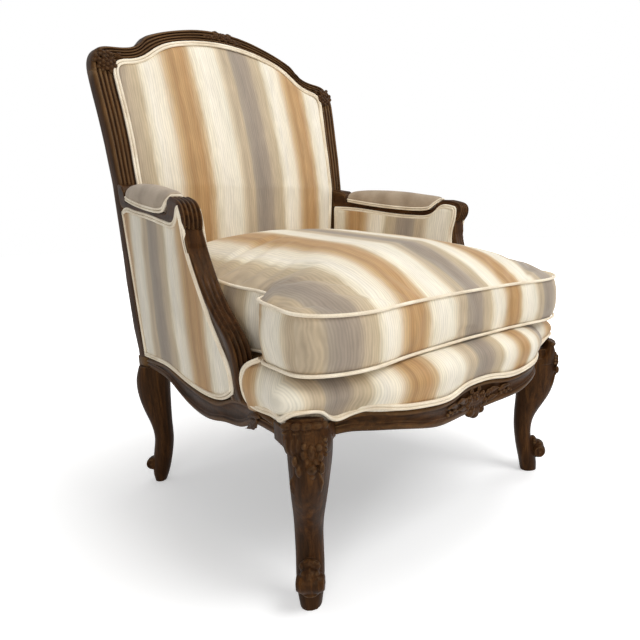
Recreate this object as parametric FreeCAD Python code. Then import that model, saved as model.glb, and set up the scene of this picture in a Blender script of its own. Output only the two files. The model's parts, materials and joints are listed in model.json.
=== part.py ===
import FreeCAD, Part
import math
import os

os.makedirs("parts", exist_ok=True)

V = FreeCAD.Vector

# The bergere chair, in millimetres. +X is the sitter's left-hand side seen
# from the front, -Y is the front, +Z is up and the feet stand on z = 0.
# The two sides mirror each other in the plane x = 0.

# Heights
rail_top = 287.0              # top of the seat rails where the cover begins
arm_height = 600.0            # top of the arm line, where its outside is widest
back_height = 1003.0          # top of the crest at its middle
crest_joint = back_height - 135.0  # joint between back posts and crest
knob_seat = arm_height - 42.0      # joint between arm stump and arm rail
deck_low = 289.0              # lowest edge of the seat deck cover

# Plan of the seat
front_half_width = 335.0      # outside of the side rail at the front leg
rear_half_width = 284.5       # outside of the side rail at the back post
side_rail_front = -262.0      # side rail meets the front leg block here
side_rail_rear = 275.0        # side rail meets the back post here
front_rail_end = front_half_width - 65.0  # front rail meets the front leg block here
front_rail_face = -376.0      # front of the front rail at the middle
rail_thickness = 36.0

# Legs
front_leg_x = front_half_width - 20.0
front_leg_y = -301.0
rear_leg_x = rear_half_width - 11.5
rear_leg_y = 292.0
knee_crest_height = 308.0
scroll_radius = 16.0
scroll_out = 18.0
scroll_height = 48.0
scroll_width = 38.0
scroll_button_radius = 6.0
scroll_button_height = 2.0

# Back frame
post_thickness = 38.0
back_pad_depth = 27.0         # part of the inside back pad behind the frame face
back_crown = 33.0             # how far the inside back bulges forward
outside_back_thickness = 9.0
crest_arch = 60.0             # rise of the crest from the step to the middle
lower_rail_height = 40.0
lower_rail_low = 372.0
lower_rail_thickness = 20.0

# Arms
arm_line_x = front_half_width + 12.5  # outside of the arm line at y = 0
arm_line_rear = rear_half_width + 13.2  # outside of the arm line at the post
arm_splay = (arm_line_x - arm_line_rear) / 287.9  # outward run of the arm line per unit of depth
arm_thickness = 34.0
arm_rail_overhang = 1.0
arm_rail_extra = 0.0          # how much wider than the arm the rail is inside
outside_pad_thickness = 9.0
outside_arm_crown = 5.0
inside_arm_crown = 9.0
knob_flute_width = 5.5
knob_flute_depth = 2.6
knob_flutes = 4
stump_flute_width = 6.0
stump_flute_depth = 2.4
stump_flutes = 3
armrest_width = 46.0
armrest_front = -34.0
arm_front = -20.0             # reference depth for the stump and panel lines
armrest_rear = 240.0

# Seat deck and loose cushion
deck_rise = 70.0
deck_bulge = 9.0
cushion_band = 84.0
cushion_crown = 58.0
cushion_slope = 0.085
cushion_front = -372.0
cushion_rear = 248.0
cushion_side_gap = 5.0        # between the cushion border and the arm pad
cushion_ear_half_width = front_half_width - 4.0

# Inner structure
webbing_width = 50.0
webbing_thickness = 2.0
webbing_count = 4
block_leg = 62.0
block_height = 15.0
dust_cover_thickness = 1.0
soft_gap = 0.4                # clearance round upholstery
seat_gap = 0.3                # clearance at a seated joint
centre_shift = 7.1            # moves the footprint's centre onto the origin

cushion_low = deck_low + deck_rise + seat_gap

nodes = {}


def wire_of(points):
    return Part.makePolygon(list(points) + [points[0]])


def loft(sections):
    shape = Part.makeLoft([wire_of(s) for s in sections], True, True)
    return fixed(shape)


def curve_points(points, pieces):
    curve = Part.BSplineCurve()
    curve.interpolate(list(points))
    first, last = curve.FirstParameter, curve.LastParameter
    return [curve.value(first + (last - first) * k / pieces) for k in range(pieces + 1)]


def facet_loft(sections):
    faces = []
    for low, high in zip(sections, sections[1:]):
        for k in range(len(low)):
            n = (k + 1) % len(low)
            faces.append(Part.Face(wire_of([low[k], low[n], high[n]])))
            faces.append(Part.Face(wire_of([low[k], high[n], high[k]])))
    faces.append(Part.Face(wire_of(sections[0])))
    faces.append(Part.Face(wire_of(sections[-1])))
    skin = Part.makeCompound(faces)
    skin.sewShape()
    return fixed(Part.makeSolid(skin.Shells[0]))


def smooth_loft(sections, pieces):
    rails = [curve_points([s[k] for s in sections], pieces) for k in range(len(sections[0]))]
    return facet_loft([[rail[k] for rail in rails] for k in range(pieces + 1)])


def fixed(shape):
    solid = shape
    if shape.ShapeType == "Shell":
        solid = Part.makeSolid(shape)
    if solid.Volume < 0:
        solid = Part.makeSolid(solid.Shells[0].reversed())
    return solid


def mirrored(shape):
    return shape.mirror(V(0, 0, 0), V(1, 0, 0))


def pick(shape):
    solids = sorted(shape.Solids, key=lambda s: -s.Volume)
    return solids[0]


def keep(name, shape):
    solids = [s for s in shape.Solids if s.Volume > 20.0]
    if len(solids) == 1:
        nodes[name] = solids[0]
    else:
        nodes[name] = Part.makeCompound(solids)


def keep_pair(name, shape):
    keep(name + "_right", shape)
    keep(name + "_left", mirrored(shape))


def table(pairs, at):
    if at <= pairs[0][0]:
        return pairs[0][1]
    for (a, va), (b, vb) in zip(pairs, pairs[1:]):
        if at <= b:
            return va + (vb - va) * (at - a) / (b - a)
    return pairs[-1][1]


# The outer face of the side rail and of the arm is one ruled surface: a
# straight line along the rail, and a straight line along the arm, which
# splays out towards the front.
side_slope = (front_half_width - rear_half_width) / (side_rail_rear - side_rail_front)


def rail_x(y):
    return front_half_width - (y - side_rail_front) * side_slope


def arm_x(y, z):
    low = rail_x(y)
    high = arm_line_x - y * arm_splay
    return low + (high - low) * (z - rail_top) / (arm_height - rail_top)


def arm_slab(outer, inner, y0, y1, z0, z1):
    sections = []
    for y in (y0, y1):
        sections.append([
            V(arm_x(y, z0) + inner, y, z0),
            V(arm_x(y, z0) + outer, y, z0),
            V(arm_x(y, z1) + outer, y, z1),
            V(arm_x(y, z1) + inner, y, z1),
        ])
    return loft(sections)


def side_prism(points, gap=0.0):
    wire = wire_of(points)
    if gap:
        wire = wire.makeOffset2D(-gap, 2)
    face = Part.Face(wire)
    face.translate(V(150.0, 0, 0))
    return face.extrude(V(280.0, 0, 0))


def yz(points):
    return [V(0, y, z) for y, z in points]


# Back line: the front face of the back frame as depth for each height.
def post_z(share):
    return rail_top + share * (crest_joint - rail_top)


post_low = rail_top - 62.0
back_line = [
    (post_low, 277.0),
    (rail_top + 13.0, 279.0),
    (post_z(0.0998), 289.0),
    (post_z(0.2806), 295.0),
    (post_z(0.4699), 289.0),
    (post_z(0.6248), 285.0),
    (post_z(0.7608), 295.0),
    (post_z(0.8761), 307.5),
    (post_z(0.9570), 317.0),
    (crest_joint, 322.0),
    (back_height, 349.0),
]


def back_y(z):
    return table(back_line, z)


# Half widths of the back frame at each height, outside and inside, as they
# spread from the rear of the side rail.
post_spread = [
    (post_low, 0.0, -40.5),
    (rail_top + 13.0, 0.0, -40.5),
    (post_z(0.0998), 1.0, -39.0),
    (post_z(0.2806), 3.5, -34.5),
    (post_z(0.4699), 8.5, -28.0),
    (post_z(0.6248), 13.5, -22.5),
    (post_z(0.7608), 17.0, -21.5),
    (post_z(0.8761), 20.5, -19.0),
    (post_z(0.9570), 23.5, -16.0),
    (crest_joint, 24.5, -14.5),
]
post_lines = [(z, rear_half_width + a, rear_half_width + b) for z, a, b in post_spread]

# Outer and inner edge of the crest from the post joint to the middle, as
# half width and as drop below the crest's highest line.
crest_shape = [
    (309.0, 135.0, 270.0, 135.0),
    (307.5, 117.0, 270.0, 121.0),
    (301.0, 99.0, 268.0, 113.0),
    (286.0, 85.0, 262.0, 107.0),
    (264.0, 80.0, 250.0, 103.0),
    (238.0, 77.0, 236.0, 101.0),
    (216.0, 70.5, 221.0, 97.0),
    (201.0, 60.0, 206.0, 91.0),
    (190.0, 47.5, 192.0, 82.0),
    (176.0, 39.0, 174.0, 68.5),
    (150.0, 28.5, 150.0, 54.5),
    (110.0, 16.0, 110.0, 41.0),
    (60.0, 4.5, 58.0, 31.0),
    (0.0, 0.0, 0.0, 27.0),
]
crest_outer = post_lines[-1][1] / crest_shape[0][0]
crest_inside = post_lines[-1][2] / crest_shape[0][2]
crest_edges = [(a * crest_outer, b, c * crest_inside, d) for a, b, c, d in crest_shape]


def crest_z(drop):
    return back_height - drop * crest_arch / 60.0 if drop < 60.0 else back_height - crest_arch - (drop - 60.0) * (
        (back_height - crest_arch - crest_joint) / 75.0)


# Moulded face of the back frame: position across the width and depth back
# from the frame face. Three reeds with a rounded outer edge.
face_moulding = [
    (0.00, 7.0),
    (0.10, 1.0),
    (0.27, 0.0),
    (0.36, 4.0),
    (0.46, 1.0),
    (0.62, 1.0),
    (0.71, 4.5),
    (0.80, 1.5),
    (1.00, 2.0),
]


def frame_section(outer, inner):
    points = []
    for share, depth in face_moulding:
        x = outer[0] + (inner[0] - outer[0]) * share
        z = outer[1] + (inner[1] - outer[1]) * share
        points.append(V(x, back_y(z) + depth, z))
    for share, depth in ((1.0, post_thickness), (0.12, post_thickness), (0.0, post_thickness - 6.0)):
        x = outer[0] + (inner[0] - outer[0]) * share
        z = outer[1] + (inner[1] - outer[1]) * share
        points.append(V(x, back_y(z) + depth, z))
    return points


# Legs
leg_template = [
    (1.00, 0.24),
    (0.78, 0.70),
    (0.25, 1.00),
    (-0.55, 0.95),
    (-1.00, 0.42),
    (-1.00, -0.42),
    (-0.55, -0.95),
    (0.25, -1.00),
    (0.78, -0.70),
    (1.00, -0.24),
]


def leg_section(cx, cy, dx, dy, z, u_in, u_out, half, lean=0.0):
    mid = 0.5 * (u_in + u_out)
    reach = 0.5 * (u_out - u_in)
    points = []
    for a, b in leg_template:
        u = mid + a * reach
        t = b * half + lean
        points.append(V(cx + u * dx - t * dy, cy + u * dy + t * dx, z))
    return points


diagonal = math.sqrt(0.5)


def roll_prism(base, axis, along, radius, length, sides):
    ring = []
    for k in range(sides):
        turn = 2.0 * math.pi * (k + 0.5) / sides
        ring.append(base + along * (radius * math.cos(turn)) + V(0, 0, radius * math.sin(turn)))
    return Part.Face(wire_of(ring)).extrude(axis * length)


def foot_scroll(cx, cy, dx, dy, out, height, radius, width):
    base = V(cx + out * dx + 0.5 * width * dy, cy + out * dy - 0.5 * width * dx, height)
    axis = V(-dy, dx, 0)
    along = V(dx, dy, 0)
    roll = roll_prism(base, axis, along, radius, width, 16)
    button = roll_prism(
        base - axis * scroll_button_height, axis, along,
        scroll_button_radius, width + 2.0 * scroll_button_height, 10)
    return roll.fuse(button)


# Front legs: a cabriole leg set on the diagonal, whose square block at the
# top takes the ends of the front and side rails.
front_leg_profile = [
    (0.0, -18.0, 16.0, 15.5, 0.0),
    (24.0, -22.0, 15.0, 19.0, 0.0),
    (48.0, -27.0, 9.0, 20.5, 0.0),
    (75.0, -31.5, 2.5, 20.5, 0.0),
    (100.0, -34.0, 1.5, 20.5, 0.0),
    (125.0, -34.5, 6.5, 21.0, -1.0),
    (155.0, -33.0, 23.0, 23.5, -3.0),
    (185.0, -31.0, 40.0, 27.0, -5.0),
    (215.0, -31.0, 48.5, 30.0, -7.0),
    (245.0, -34.0, 49.0, 33.5, -8.0),
    (268.0, -36.0, 45.0, 34.5, -8.0),
]
sections = [
    leg_section(front_leg_x, front_leg_y, diagonal, -diagonal, z, a, b, h, lean)
    for z, a, b, h, lean in front_leg_profile
]
front_leg = smooth_loft(sections, 12)
crest_sections = []
for z, a, b, h in ((255.0, -10.0, 46.5, 34.0), (rail_top, 24.0, 45.0, 33.0), (knee_crest_height, 27.0, 38.0, 22.0)):
    crest_sections.append(leg_section(front_leg_x, front_leg_y, diagonal, -diagonal, z, a, b, h, -8.0))
knee_crest = loft(crest_sections)
block_low = rail_top - 28.0
front_block_plan = [
    (front_rail_end, side_rail_front),
    (rail_x(side_rail_front), side_rail_front),
    (front_leg_x + 31.0, front_leg_y + 1.0),
    (front_leg_x - 7.0, front_leg_y - 42.0),
    (front_rail_end, front_leg_y - 21.0),
]
front_block = Part.Face(wire_of([V(x, y, block_low) for x, y in front_block_plan]))
front_block = front_block.extrude(V(0, 0, rail_top - block_low))
front_scroll = foot_scroll(
    front_leg_x, front_leg_y, diagonal, -diagonal,
    scroll_out, scroll_height, scroll_radius, scroll_width)
front_leg = front_leg.fuse([knee_crest, front_block, front_scroll]).removeSplitter()
keep_pair("front_leg", pick(front_leg))

# Back posts: the rear cabriole leg and the moulded stile are one length.
rear_leg_profile = [
    (0.0, -10.0, 11.0, 13.0),
    (18.0, -17.0, 14.0, 16.0),
    (42.0, -24.0, 12.0, 18.0),
    (70.0, -30.0, 8.0, 19.0),
    (100.0, -34.0, 3.0, 20.0),
    (130.0, -34.0, 6.0, 21.0),
    (165.0, -34.5, 18.0, 23.0),
    (206.0, -36.0, 28.0, 26.0),
    (240.0, -38.0, 28.0, 27.0),
    (268.0, -38.0, 20.0, 26.0),
]
sections = [
    leg_section(rear_leg_x, rear_leg_y, diagonal, diagonal, z, a, b, h)
    for z, a, b, h in rear_leg_profile
]
rear_leg = smooth_loft(sections, 11)
rear_scroll = foot_scroll(
    rear_leg_x, rear_leg_y, diagonal, diagonal,
    scroll_out - 5.0, scroll_height - 6.0, scroll_radius - 2.0, scroll_width - 10.0)
stile_sections = [frame_section((o, z), (i, z)) for z, o, i in post_lines]
stile_pieces = 11
stile = smooth_loft(stile_sections, stile_pieces)
rear_block_width = 44.5
rear_block = Part.makeBox(
    rear_block_width, 42.0, rail_top - post_low,
    V(rear_half_width - rear_block_width, side_rail_rear, post_low))
post = stile.fuse([rear_leg, rear_scroll, rear_block]).removeSplitter()
post = pick(post)
keep_pair("back_post", post)
both_posts = [post, mirrored(post)]

# Crest rail, from post to post over the arched top.
right = [
    frame_section((a, crest_z(b)), (c, crest_z(d)))
    for a, b, c, d in crest_edges
]
left = [[V(-p.x, p.y, p.z) for p in s] for s in reversed(right[:-1])]
crest_pieces = 38
keep("crest_rail", smooth_loft(right + left, crest_pieces))

# Seat rails. Each section is a plain back with a rounded upper edge and a
# bead along the lower edge.


def rail_section(place, top, low, depth):
    profile = [
        (3.0, top),
        (0.0, top - 5.0),
        (0.5, low + 15.0),
        (3.0, low + 12.0),
        (0.0, low + 9.0),
        (0.0, low + 3.0),
        (3.0, low),
        (depth, low),
        (depth, top),
    ]
    return [place(inward, z) for inward, z in profile]


# x, depth of the face behind the middle, top and bottom against the rail top
front_rail_line = [
    (front_rail_end, 53.0, -1.0, -27.0),
    (front_rail_end * 0.9333, 42.0, 4.0, -25.0),
    (front_rail_end * 0.8444, 21.0, 8.0, -25.0),
    (front_rail_end * 0.7407, -1.0, 5.0, -26.0),
    (front_rail_end * 0.5926, -14.0, 1.0, -33.0),
    (front_rail_end * 0.4444, -16.5, -3.0, -41.0),
    (front_rail_end * 0.2963, -12.0, -4.5, -45.0),
    (front_rail_end * 0.1481, -5.0, 0.0, -48.0),
    (0.0, 0.0, 0.0, -51.0),
]


def front_rail_at(row, side):
    x, back, top, low = row
    x = x * side

    def place(inward, z):
        return V(x, front_rail_face + back + inward, z)

    return rail_section(place, rail_top + top, rail_top + low, rail_thickness)


sections = [front_rail_at(r, 1.0) for r in front_rail_line]
sections += [front_rail_at(r, -1.0) for r in reversed(front_rail_line[:-1])]
front_rail = smooth_loft(sections, 22)
keep("front_seat_rail", front_rail)

# y as a share of the rail's length, top and bottom against the rail top
side_rail_line = [
    (0.00, 0.0, -23.0),
    (0.07, 4.0, -22.0),
    (0.13, 7.0, -25.0),
    (0.19, 8.0, -38.0),
    (0.25, 3.0, -45.0),
    (0.33, -12.0, -50.0),
    (0.42, -18.0, -59.0),
    (0.52, -15.0, -59.5),
    (0.62, -8.0, -51.0),
    (0.70, -1.0, -39.0),
    (0.77, 5.0, -28.0),
    (0.85, 5.0, -22.5),
    (0.93, 2.0, -21.0),
    (1.00, 0.0, -21.0),
]
rail_run = side_rail_rear - side_rail_front
sections = []
for share, top, low in side_rail_line:
    y = side_rail_front + share * rail_run

    def place(inward, z, y=y):
        return V(rail_x(y) - inward, y, z)

    sections.append(rail_section(place, rail_top + top, rail_top + low, rail_thickness))
side_rail = smooth_loft(sections, 18)
side_rail = pick(side_rail.cut(post))
keep_pair("side_seat_rail", side_rail)


def side_top(y):
    share = (y - side_rail_front) / rail_run
    return rail_top + table([(s, t) for s, t, l in side_rail_line], share)


back_rail_top = rail_top + 14.0
back_rail_y = back_y(rail_top - 17.0) + 2.0
back_rail_half = rear_half_width - 44.5
back_rail = Part.makeBox(
    2.0 * back_rail_half, post_thickness - 4.0, 56.0,
    V(-back_rail_half, back_rail_y, back_rail_top - 56.0))
keep("back_seat_rail", back_rail.cut(Part.makeCompound(both_posts)))

# Arm rails: level under the pad, dipping, then rising to the reeded knob
# which curls over the front of the stump.
arm_rear = back_y(arm_height + 10.0) + 1.5
arm_top_rear = yz([
    (arm_rear, arm_height + 48.0),
    (armrest_rear + 18.0, arm_height + 43.0),
    (armrest_rear + 7.0, arm_height + 34.0),
])
arm_top_front = yz([
    (armrest_rear + 3.0, arm_height + 17.0),
    (200.0, arm_height + 10.5),
    (140.0, arm_height + 2.0),
    (100.0, arm_height - 4.0),
    (60.0, arm_height - 9.0),
    (arm_front + 40.0, arm_height - 12.5),
    (arm_front + 12.0, arm_height - 13.5),
    (arm_front - 2.0, arm_height - 10.0),
    (arm_front - 11.0, arm_height - 2.0),
    (arm_front - 18.0, arm_height + 5.0),
    (arm_front - 27.0, arm_height + 9.0),
    (arm_front - 38.0, arm_height + 8.0),
    (arm_front - 50.0, arm_height + 4.0),
    (arm_front - 61.0, arm_height - 0.5),
    (arm_front - 68.5, arm_height - 6.5),
    (arm_front - 72.5, arm_height - 15.0),
    (arm_front - 72.5, arm_height - 28.0),
    (arm_front - 67.0, knob_seat),
])
arm_under = yz([
    (arm_front - 32.0, knob_seat),
    (arm_front - 22.0, knob_seat + 9.0),
    (arm_front + 20.0, knob_seat + 14.0),
    (arm_front + 84.0, knob_seat + 16.0),
    (arm_front + 190.0, knob_seat + 26.0),
    (arm_front + 260.0, knob_seat + 38.0),
    (arm_rear, knob_seat + 44.0),
])
knob_line = curve_points(arm_top_front, 40)
arm_outline = arm_top_rear + knob_line + curve_points(arm_under, 14)
arm_inner = -arm_thickness - arm_rail_extra
arm_rail = side_prism(arm_outline).common(
    arm_slab(arm_rail_overhang, arm_inner, arm_front - 140.0, arm_rear + 13.0, knob_seat - 38.0, arm_height + 80.0))

# Arm stumps: an S-shaped upright swept forward onto the side rail.


def stump_z(share):
    return rail_top + share * (knob_seat - rail_top)


stump_front = yz([
    (arm_front - 64.0, knob_seat),
    (arm_front - 67.0, stump_z(0.9077)),
    (arm_front - 75.0, stump_z(0.7970)),
    (arm_front - 88.0, stump_z(0.6827)),
    (arm_front - 107.0, stump_z(0.5720)),
    (arm_front - 132.0, stump_z(0.4723)),
    (arm_front - 152.0, stump_z(0.3801)),
    (arm_front - 156.0, stump_z(0.2804)),
    (arm_front - 149.0, stump_z(0.1697)),
    (arm_front - 146.0, stump_z(0.1107)),
    (arm_front - 152.0, stump_z(0.0148)),
])
stump_rear = yz([
    (arm_front - 108.0, rail_top),
    (arm_front - 104.0, stump_z(0.0923)),
    (arm_front - 98.0, stump_z(0.2620)),
    (arm_front - 84.0, stump_z(0.4465)),
    (arm_front - 58.0, stump_z(0.6310)),
    (arm_front - 40.0, stump_z(0.8155)),
    (arm_front - 32.0, knob_seat),
])
stump_line = curve_points(stump_front, 20)
stump_outline = stump_line + curve_points(stump_rear, 8)
stump_prism = side_prism(stump_outline)
stump = stump_prism.common(
    arm_slab(0.0, -arm_thickness, arm_front - 200.0, arm_front + 40.0, rail_top - 30.0, arm_height))
stump = stump.cut(side_rail)

# Outside arm panels: the padded cover between rail, post, arm and stump.
panel_rear = back_y(stump_z(0.6)) - 12.0
panel_edge = yz([
    (panel_rear - 4.0, side_top(panel_rear) + 4.0),
    (arm_front + 220.0, side_top(200.0) + seat_gap),
    (arm_front + 165.0, side_top(145.0) + seat_gap),
    (arm_front + 91.0, side_top(71.0) + seat_gap),
    (arm_front + 23.0, side_top(3.0) + seat_gap),
    (arm_front - 40.0, side_top(-60.0) + seat_gap),
    (arm_front - 92.0, side_top(-112.0) + 2.0 * soft_gap),
    (arm_front - 122.0, side_top(-134.0) + 10.0),
])
panel_front = yz([
    (arm_front - 122.0, side_top(-134.0) + 10.0),
    (arm_front - 130.0, stump_z(0.1697)),
    (arm_front - 122.0, stump_z(0.3026)),
    (arm_front - 106.0, stump_z(0.4170)),
    (arm_front - 90.0, stump_z(0.5756)),
    (arm_front - 75.0, stump_z(0.7380)),
    (arm_front - 64.5, stump_z(0.9225)),
    (arm_front - 68.0, arm_height - 20.0),
    (arm_front - 65.0, arm_height - 3.5),
])
panel_top = yz([
    (arm_front - 65.0, arm_height - 3.5),
    (arm_front - 54.0, arm_height - 8.0),
    (arm_front - 42.0, arm_height - 18.0),
    (arm_front - 28.0, arm_height - 26.5),
    (arm_front - 10.0, arm_height - 30.0),
    (arm_front + 15.0, arm_height - 28.0),
    (arm_front + 70.0, arm_height - 20.0),
    (arm_front + 135.0, arm_height - 12.0),
    (arm_front + 210.0, arm_height - 4.5),
    (panel_rear - 18.0, arm_height - 1.0),
    (panel_rear, arm_height - 6.0),
])
panel_outline = curve_points(panel_edge, 14) + curve_points(panel_front, 16)[1:]
panel_outline += curve_points(panel_top, 18)[1:]
panel_prism = side_prism(panel_outline)
groove = panel_prism.common(
    arm_slab(30.0, -outside_pad_thickness - seat_gap, arm_front - 200.0, arm_rear + 13.0, rail_top - 40.0, arm_height + 40.0))
arm_rail = arm_rail.cut(groove)
stump = stump.cut(groove)


def crowned_arm_slab(outer, inner, crown_out, crown_in, gaps):
    sections = []
    for y, swell in gaps:
        low = side_top(y)
        high = arm_height + 12.0
        points = []
        rows = ((0.0, 0.0), (0.1, 0.5), (0.3, 0.9), (0.5, 1.0), (0.7, 0.9), (0.9, 0.5), (1.0, 0.0))
        for share, crown in rows:
            z = low + (high - low) * share
            points.append(V(arm_x(y, z) + outer + crown_out * crown * swell, y, z))
        for share, crown in reversed(rows):
            z = low + (high - low) * share
            points.append(V(arm_x(y, z) + inner - crown_in * crown * swell, y, z))
        sections.append(points)
    return smooth_loft(sections, 9)


swells = [(-175.0, 0.0), (-120.0, 0.4), (-60.0, 0.8), (40.0, 1.0), (150.0, 0.9), (230.0, 0.5), (296.0, 0.0)]
panel = side_prism(panel_outline, soft_gap).common(
    crowned_arm_slab(-1.0, -outside_pad_thickness, outside_arm_crown, 0.0, swells))
keep_pair("outside_arm_panel", pick(panel.cut(side_rail)))

# Inside arm pads: from the deck up to the arm rail, thicker than the outside.
pad_rear = back_y(stump_z(0.6)) - 14.0
pad_low = deck_low + 10.0
inside_front = yz([
    (arm_front - 120.0, pad_low),
    (arm_front - 112.0, stump_z(0.2952)),
    (arm_front - 98.0, stump_z(0.4649)),
    (arm_front - 78.0, stump_z(0.5941)),
    (arm_front - 63.0, stump_z(0.7786)),
    (arm_front - 61.0, stump_z(0.9262)),
    (arm_front - 66.5, arm_height - 24.0),
    (arm_front - 64.5, arm_height - 9.0),
])
inside_top = yz([
    (arm_front - 64.5, arm_height - 9.0),
    (arm_front - 46.0, arm_height - 3.0),
    (arm_front - 30.0, arm_height - 2.0),
    (arm_front - 18.0, arm_height - 7.0),
    (arm_front - 7.0, arm_height - 18.0),
    (arm_front + 8.0, arm_height - 25.0),
    (arm_front + 35.0, arm_height - 26.0),
    (arm_front + 95.0, arm_height - 21.0),
    (arm_front + 160.0, arm_height - 12.0),
    (arm_front + 230.0, arm_height - 2.0),
    (pad_rear, arm_height + 3.0),
])
inside_outline = curve_points(inside_front, 12) + curve_points(inside_top, 16)[1:]
inside_outline += [V(0, pad_rear, pad_low)]
inside_prism = side_prism(inside_outline)
inner_layer = -outside_pad_thickness - 2.0 * seat_gap
pocket = inside_prism.common(
    arm_slab(-arm_thickness + 14.0, -90.0, arm_front - 200.0, arm_rear + 13.0, rail_top - 40.0, arm_height + 40.0))
arm_rail = arm_rail.cut(pocket)
stump = stump.cut(pocket)
arm_rail = arm_rail.cut(post)

# Flutes down the front of the stump and reeds over the knob.


def flute_strips(count, width, y0, y1, z0, z1, span_out, span_in):
    strips = []
    step = (span_out - span_in) / (count + 1)
    for index in range(count):
        middle = span_in + step * (index + 1)
        strips.append(arm_slab(middle + 0.5 * width, middle - 0.5 * width, y0, y1, z0, z1))
    return strips


def front_band(points, depth):
    inner = []
    for index, p in enumerate(points):
        a = points[max(index - 1, 0)]
        b = points[min(index + 1, len(points) - 1)]
        run = (b - a).normalize()
        normal = V(0, -run.z, run.y)
        inner.append(p + normal * depth)
    front = [p - (q - p) * 2.0 for p, q in zip(points, inner)]
    return front + list(reversed(inner))


def cut_band(solid, points, depth, strips):
    band = side_prism(front_band(points, depth))
    for strip in strips:
        solid = solid.cut(band.common(strip))
    return solid


stump_strips = flute_strips(
    stump_flutes, stump_flute_width,
    arm_front - 220.0, arm_front + 40.0, rail_top, knob_seat + 5.0, 0.0, -arm_thickness)
stump = cut_band(stump, stump_line[1:17], -stump_flute_depth, stump_strips)
knob_strips = flute_strips(
    knob_flutes, knob_flute_width,
    arm_front - 140.0, arm_front + 40.0, knob_seat - 38.0, arm_height + 60.0, arm_rail_overhang, arm_inner)
arm_rail = cut_band(arm_rail, knob_line[29:40], -knob_flute_depth, knob_strips)
keep_pair("arm_stump", pick(stump))

inside_pad = side_prism(inside_outline, soft_gap).common(
    crowned_arm_slab(-arm_thickness + 13.6, -arm_thickness, 0.0, inside_arm_crown, swells))
keep_pair("inside_arm_pad", inside_pad)

# Armrest pads: a flat base on the arm rail under a crowned top.
# Share of the pad's length, base and top against the arm line, half width.
rest_rows = [
    (0.000, 6.0, 11.5, 0.35),
    (0.015, 1.5, 16.0, 0.62),
    (0.050, -7.0, 19.0, 0.86),
    (0.110, -14.0, 22.0, 0.97),
    (0.200, -14.0, 26.0, 1.00),
    (0.340, -11.0, 32.0, 1.00),
    (0.500, -6.0, 37.0, 1.00),
    (0.670, 0.5, 40.5, 1.00),
    (0.850, 8.5, 42.0, 0.97),
    (0.955, 13.5, 40.0, 0.88),
    (0.990, 15.5, 34.0, 0.66),
    (1.000, 18.0, 28.0, 0.40),
]


def rest_section(share, base, top, wide):
    y = armrest_front + share * (armrest_rear - armrest_front)
    z = arm_height + base
    mid = arm_x(y, z) - 0.5 * arm_thickness
    half = 0.5 * armrest_width * wide
    rise = top - base
    arch = []
    for turn in range(-20, 201, 20):
        angle = math.radians(turn)
        arch.append(V(mid + half * math.cos(angle), y, z + rise * (0.3 + 0.7 * math.sin(angle))))
    return [V(mid - half * 0.86, y, z), V(mid + half * 0.86, y, z)] + arch


rest = facet_loft([rest_section(*row) for row in rest_rows])
rest = pick(rest.cut(arm_rail))
keep_pair("armrest_pad", rest)

# Back: crowned inside pad, flat outside panel and the hidden lower rail.
inner_edge = len(face_moulding) - 1
post_inner = curve_points([s[inner_edge] for s in stile_sections], stile_pieces)
crest_inner = curve_points([s[inner_edge] for s in right + left], crest_pieces)


def back_prism(gap, low):
    rise = [V(p.x, 0, p.z) for p in post_inner if p.z > low + 2.0]
    foot = V(table([(p.z, p.x) for p in post_inner], low), 0, low)
    points = [foot] + rise + [V(p.x, 0, p.z) for p in crest_inner[1:-1]]
    points += [V(-p.x, 0, p.z) for p in reversed([foot] + rise)]
    wire = wire_of(points)
    if gap:
        wire = wire.makeOffset2D(-gap, 2)
    return Part.Face(wire).extrude(V(0, 500.0, 0))


pad_stations = [
    (rail_top + 10.0, 0.75),
    (post_z(0.1945), 1.0),
    (post_z(0.3666), 1.0),
    (post_z(0.5387), 1.0),
    (post_z(0.7108), 0.95),
    (post_z(0.8830), 0.8),
    (crest_joint + 2.0, 0.62),
    (back_height - 83.0, 0.4),
    (back_height - 43.0, 0.15),
    (back_height, 0.02),
]


def back_slab(stations, front, rear, steps=6):
    sections = []
    for z, swell in stations:
        y = back_y(z)
        half = rear_half_width - 10.5
        points = [V(half, y + rear, z), V(-half, y + rear, z)]
        for k in range(-steps, steps + 1):
            share = k / steps
            dome = (1.0 - share * share) * swell * back_crown
            points.append(V(half * share, y + front - dome, z))
        sections.append(points)
    return smooth_loft(sections, 14)


inside_back = back_prism(soft_gap, back_rail_top).common(
    back_slab(pad_stations, 2.0, back_pad_depth))
lower_rail_y = back_y(lower_rail_low) + back_pad_depth - lower_rail_thickness - 1.0
lower_rail = Part.makeBox(
    2.0 * (rear_half_width - 22.5), lower_rail_thickness, lower_rail_height,
    V(22.5 - rear_half_width, lower_rail_y, lower_rail_low))
lower_rail = lower_rail.cut(Part.makeCompound(both_posts))
lower_rail = pick(lower_rail)
clear_box = Part.makeBox(
    2.0 * rear_half_width, 60.0, lower_rail_height + 2.0 * soft_gap,
    V(-rear_half_width, lower_rail_y - soft_gap, lower_rail_low - soft_gap))
keep("lower_back_rail", lower_rail)
keep("inside_back_pad", inside_back.cut(clear_box))
pad_space = back_prism(0.0, back_rail_top).common(
    back_slab(pad_stations, 1.6, back_pad_depth))
keep_pair("arm_rail", pick(arm_rail.cut(pad_space)))
outside_back = back_prism(soft_gap, back_rail_top).common(
    back_slab([(z, 0.0) for z, s in pad_stations], back_pad_depth + seat_gap,
              back_pad_depth + seat_gap + outside_back_thickness, 1))
keep("outside_back_panel", outside_back)

# Seat deck: the sprung edge cover on the rails, bulging over them in front
# and reaching round the stumps to the front corners.
ear_back = arm_front - 160.0
arm_face_gap = 3.0


def inner_face(y):
    return arm_x(y, cushion_low) - arm_thickness - inside_arm_crown


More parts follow.
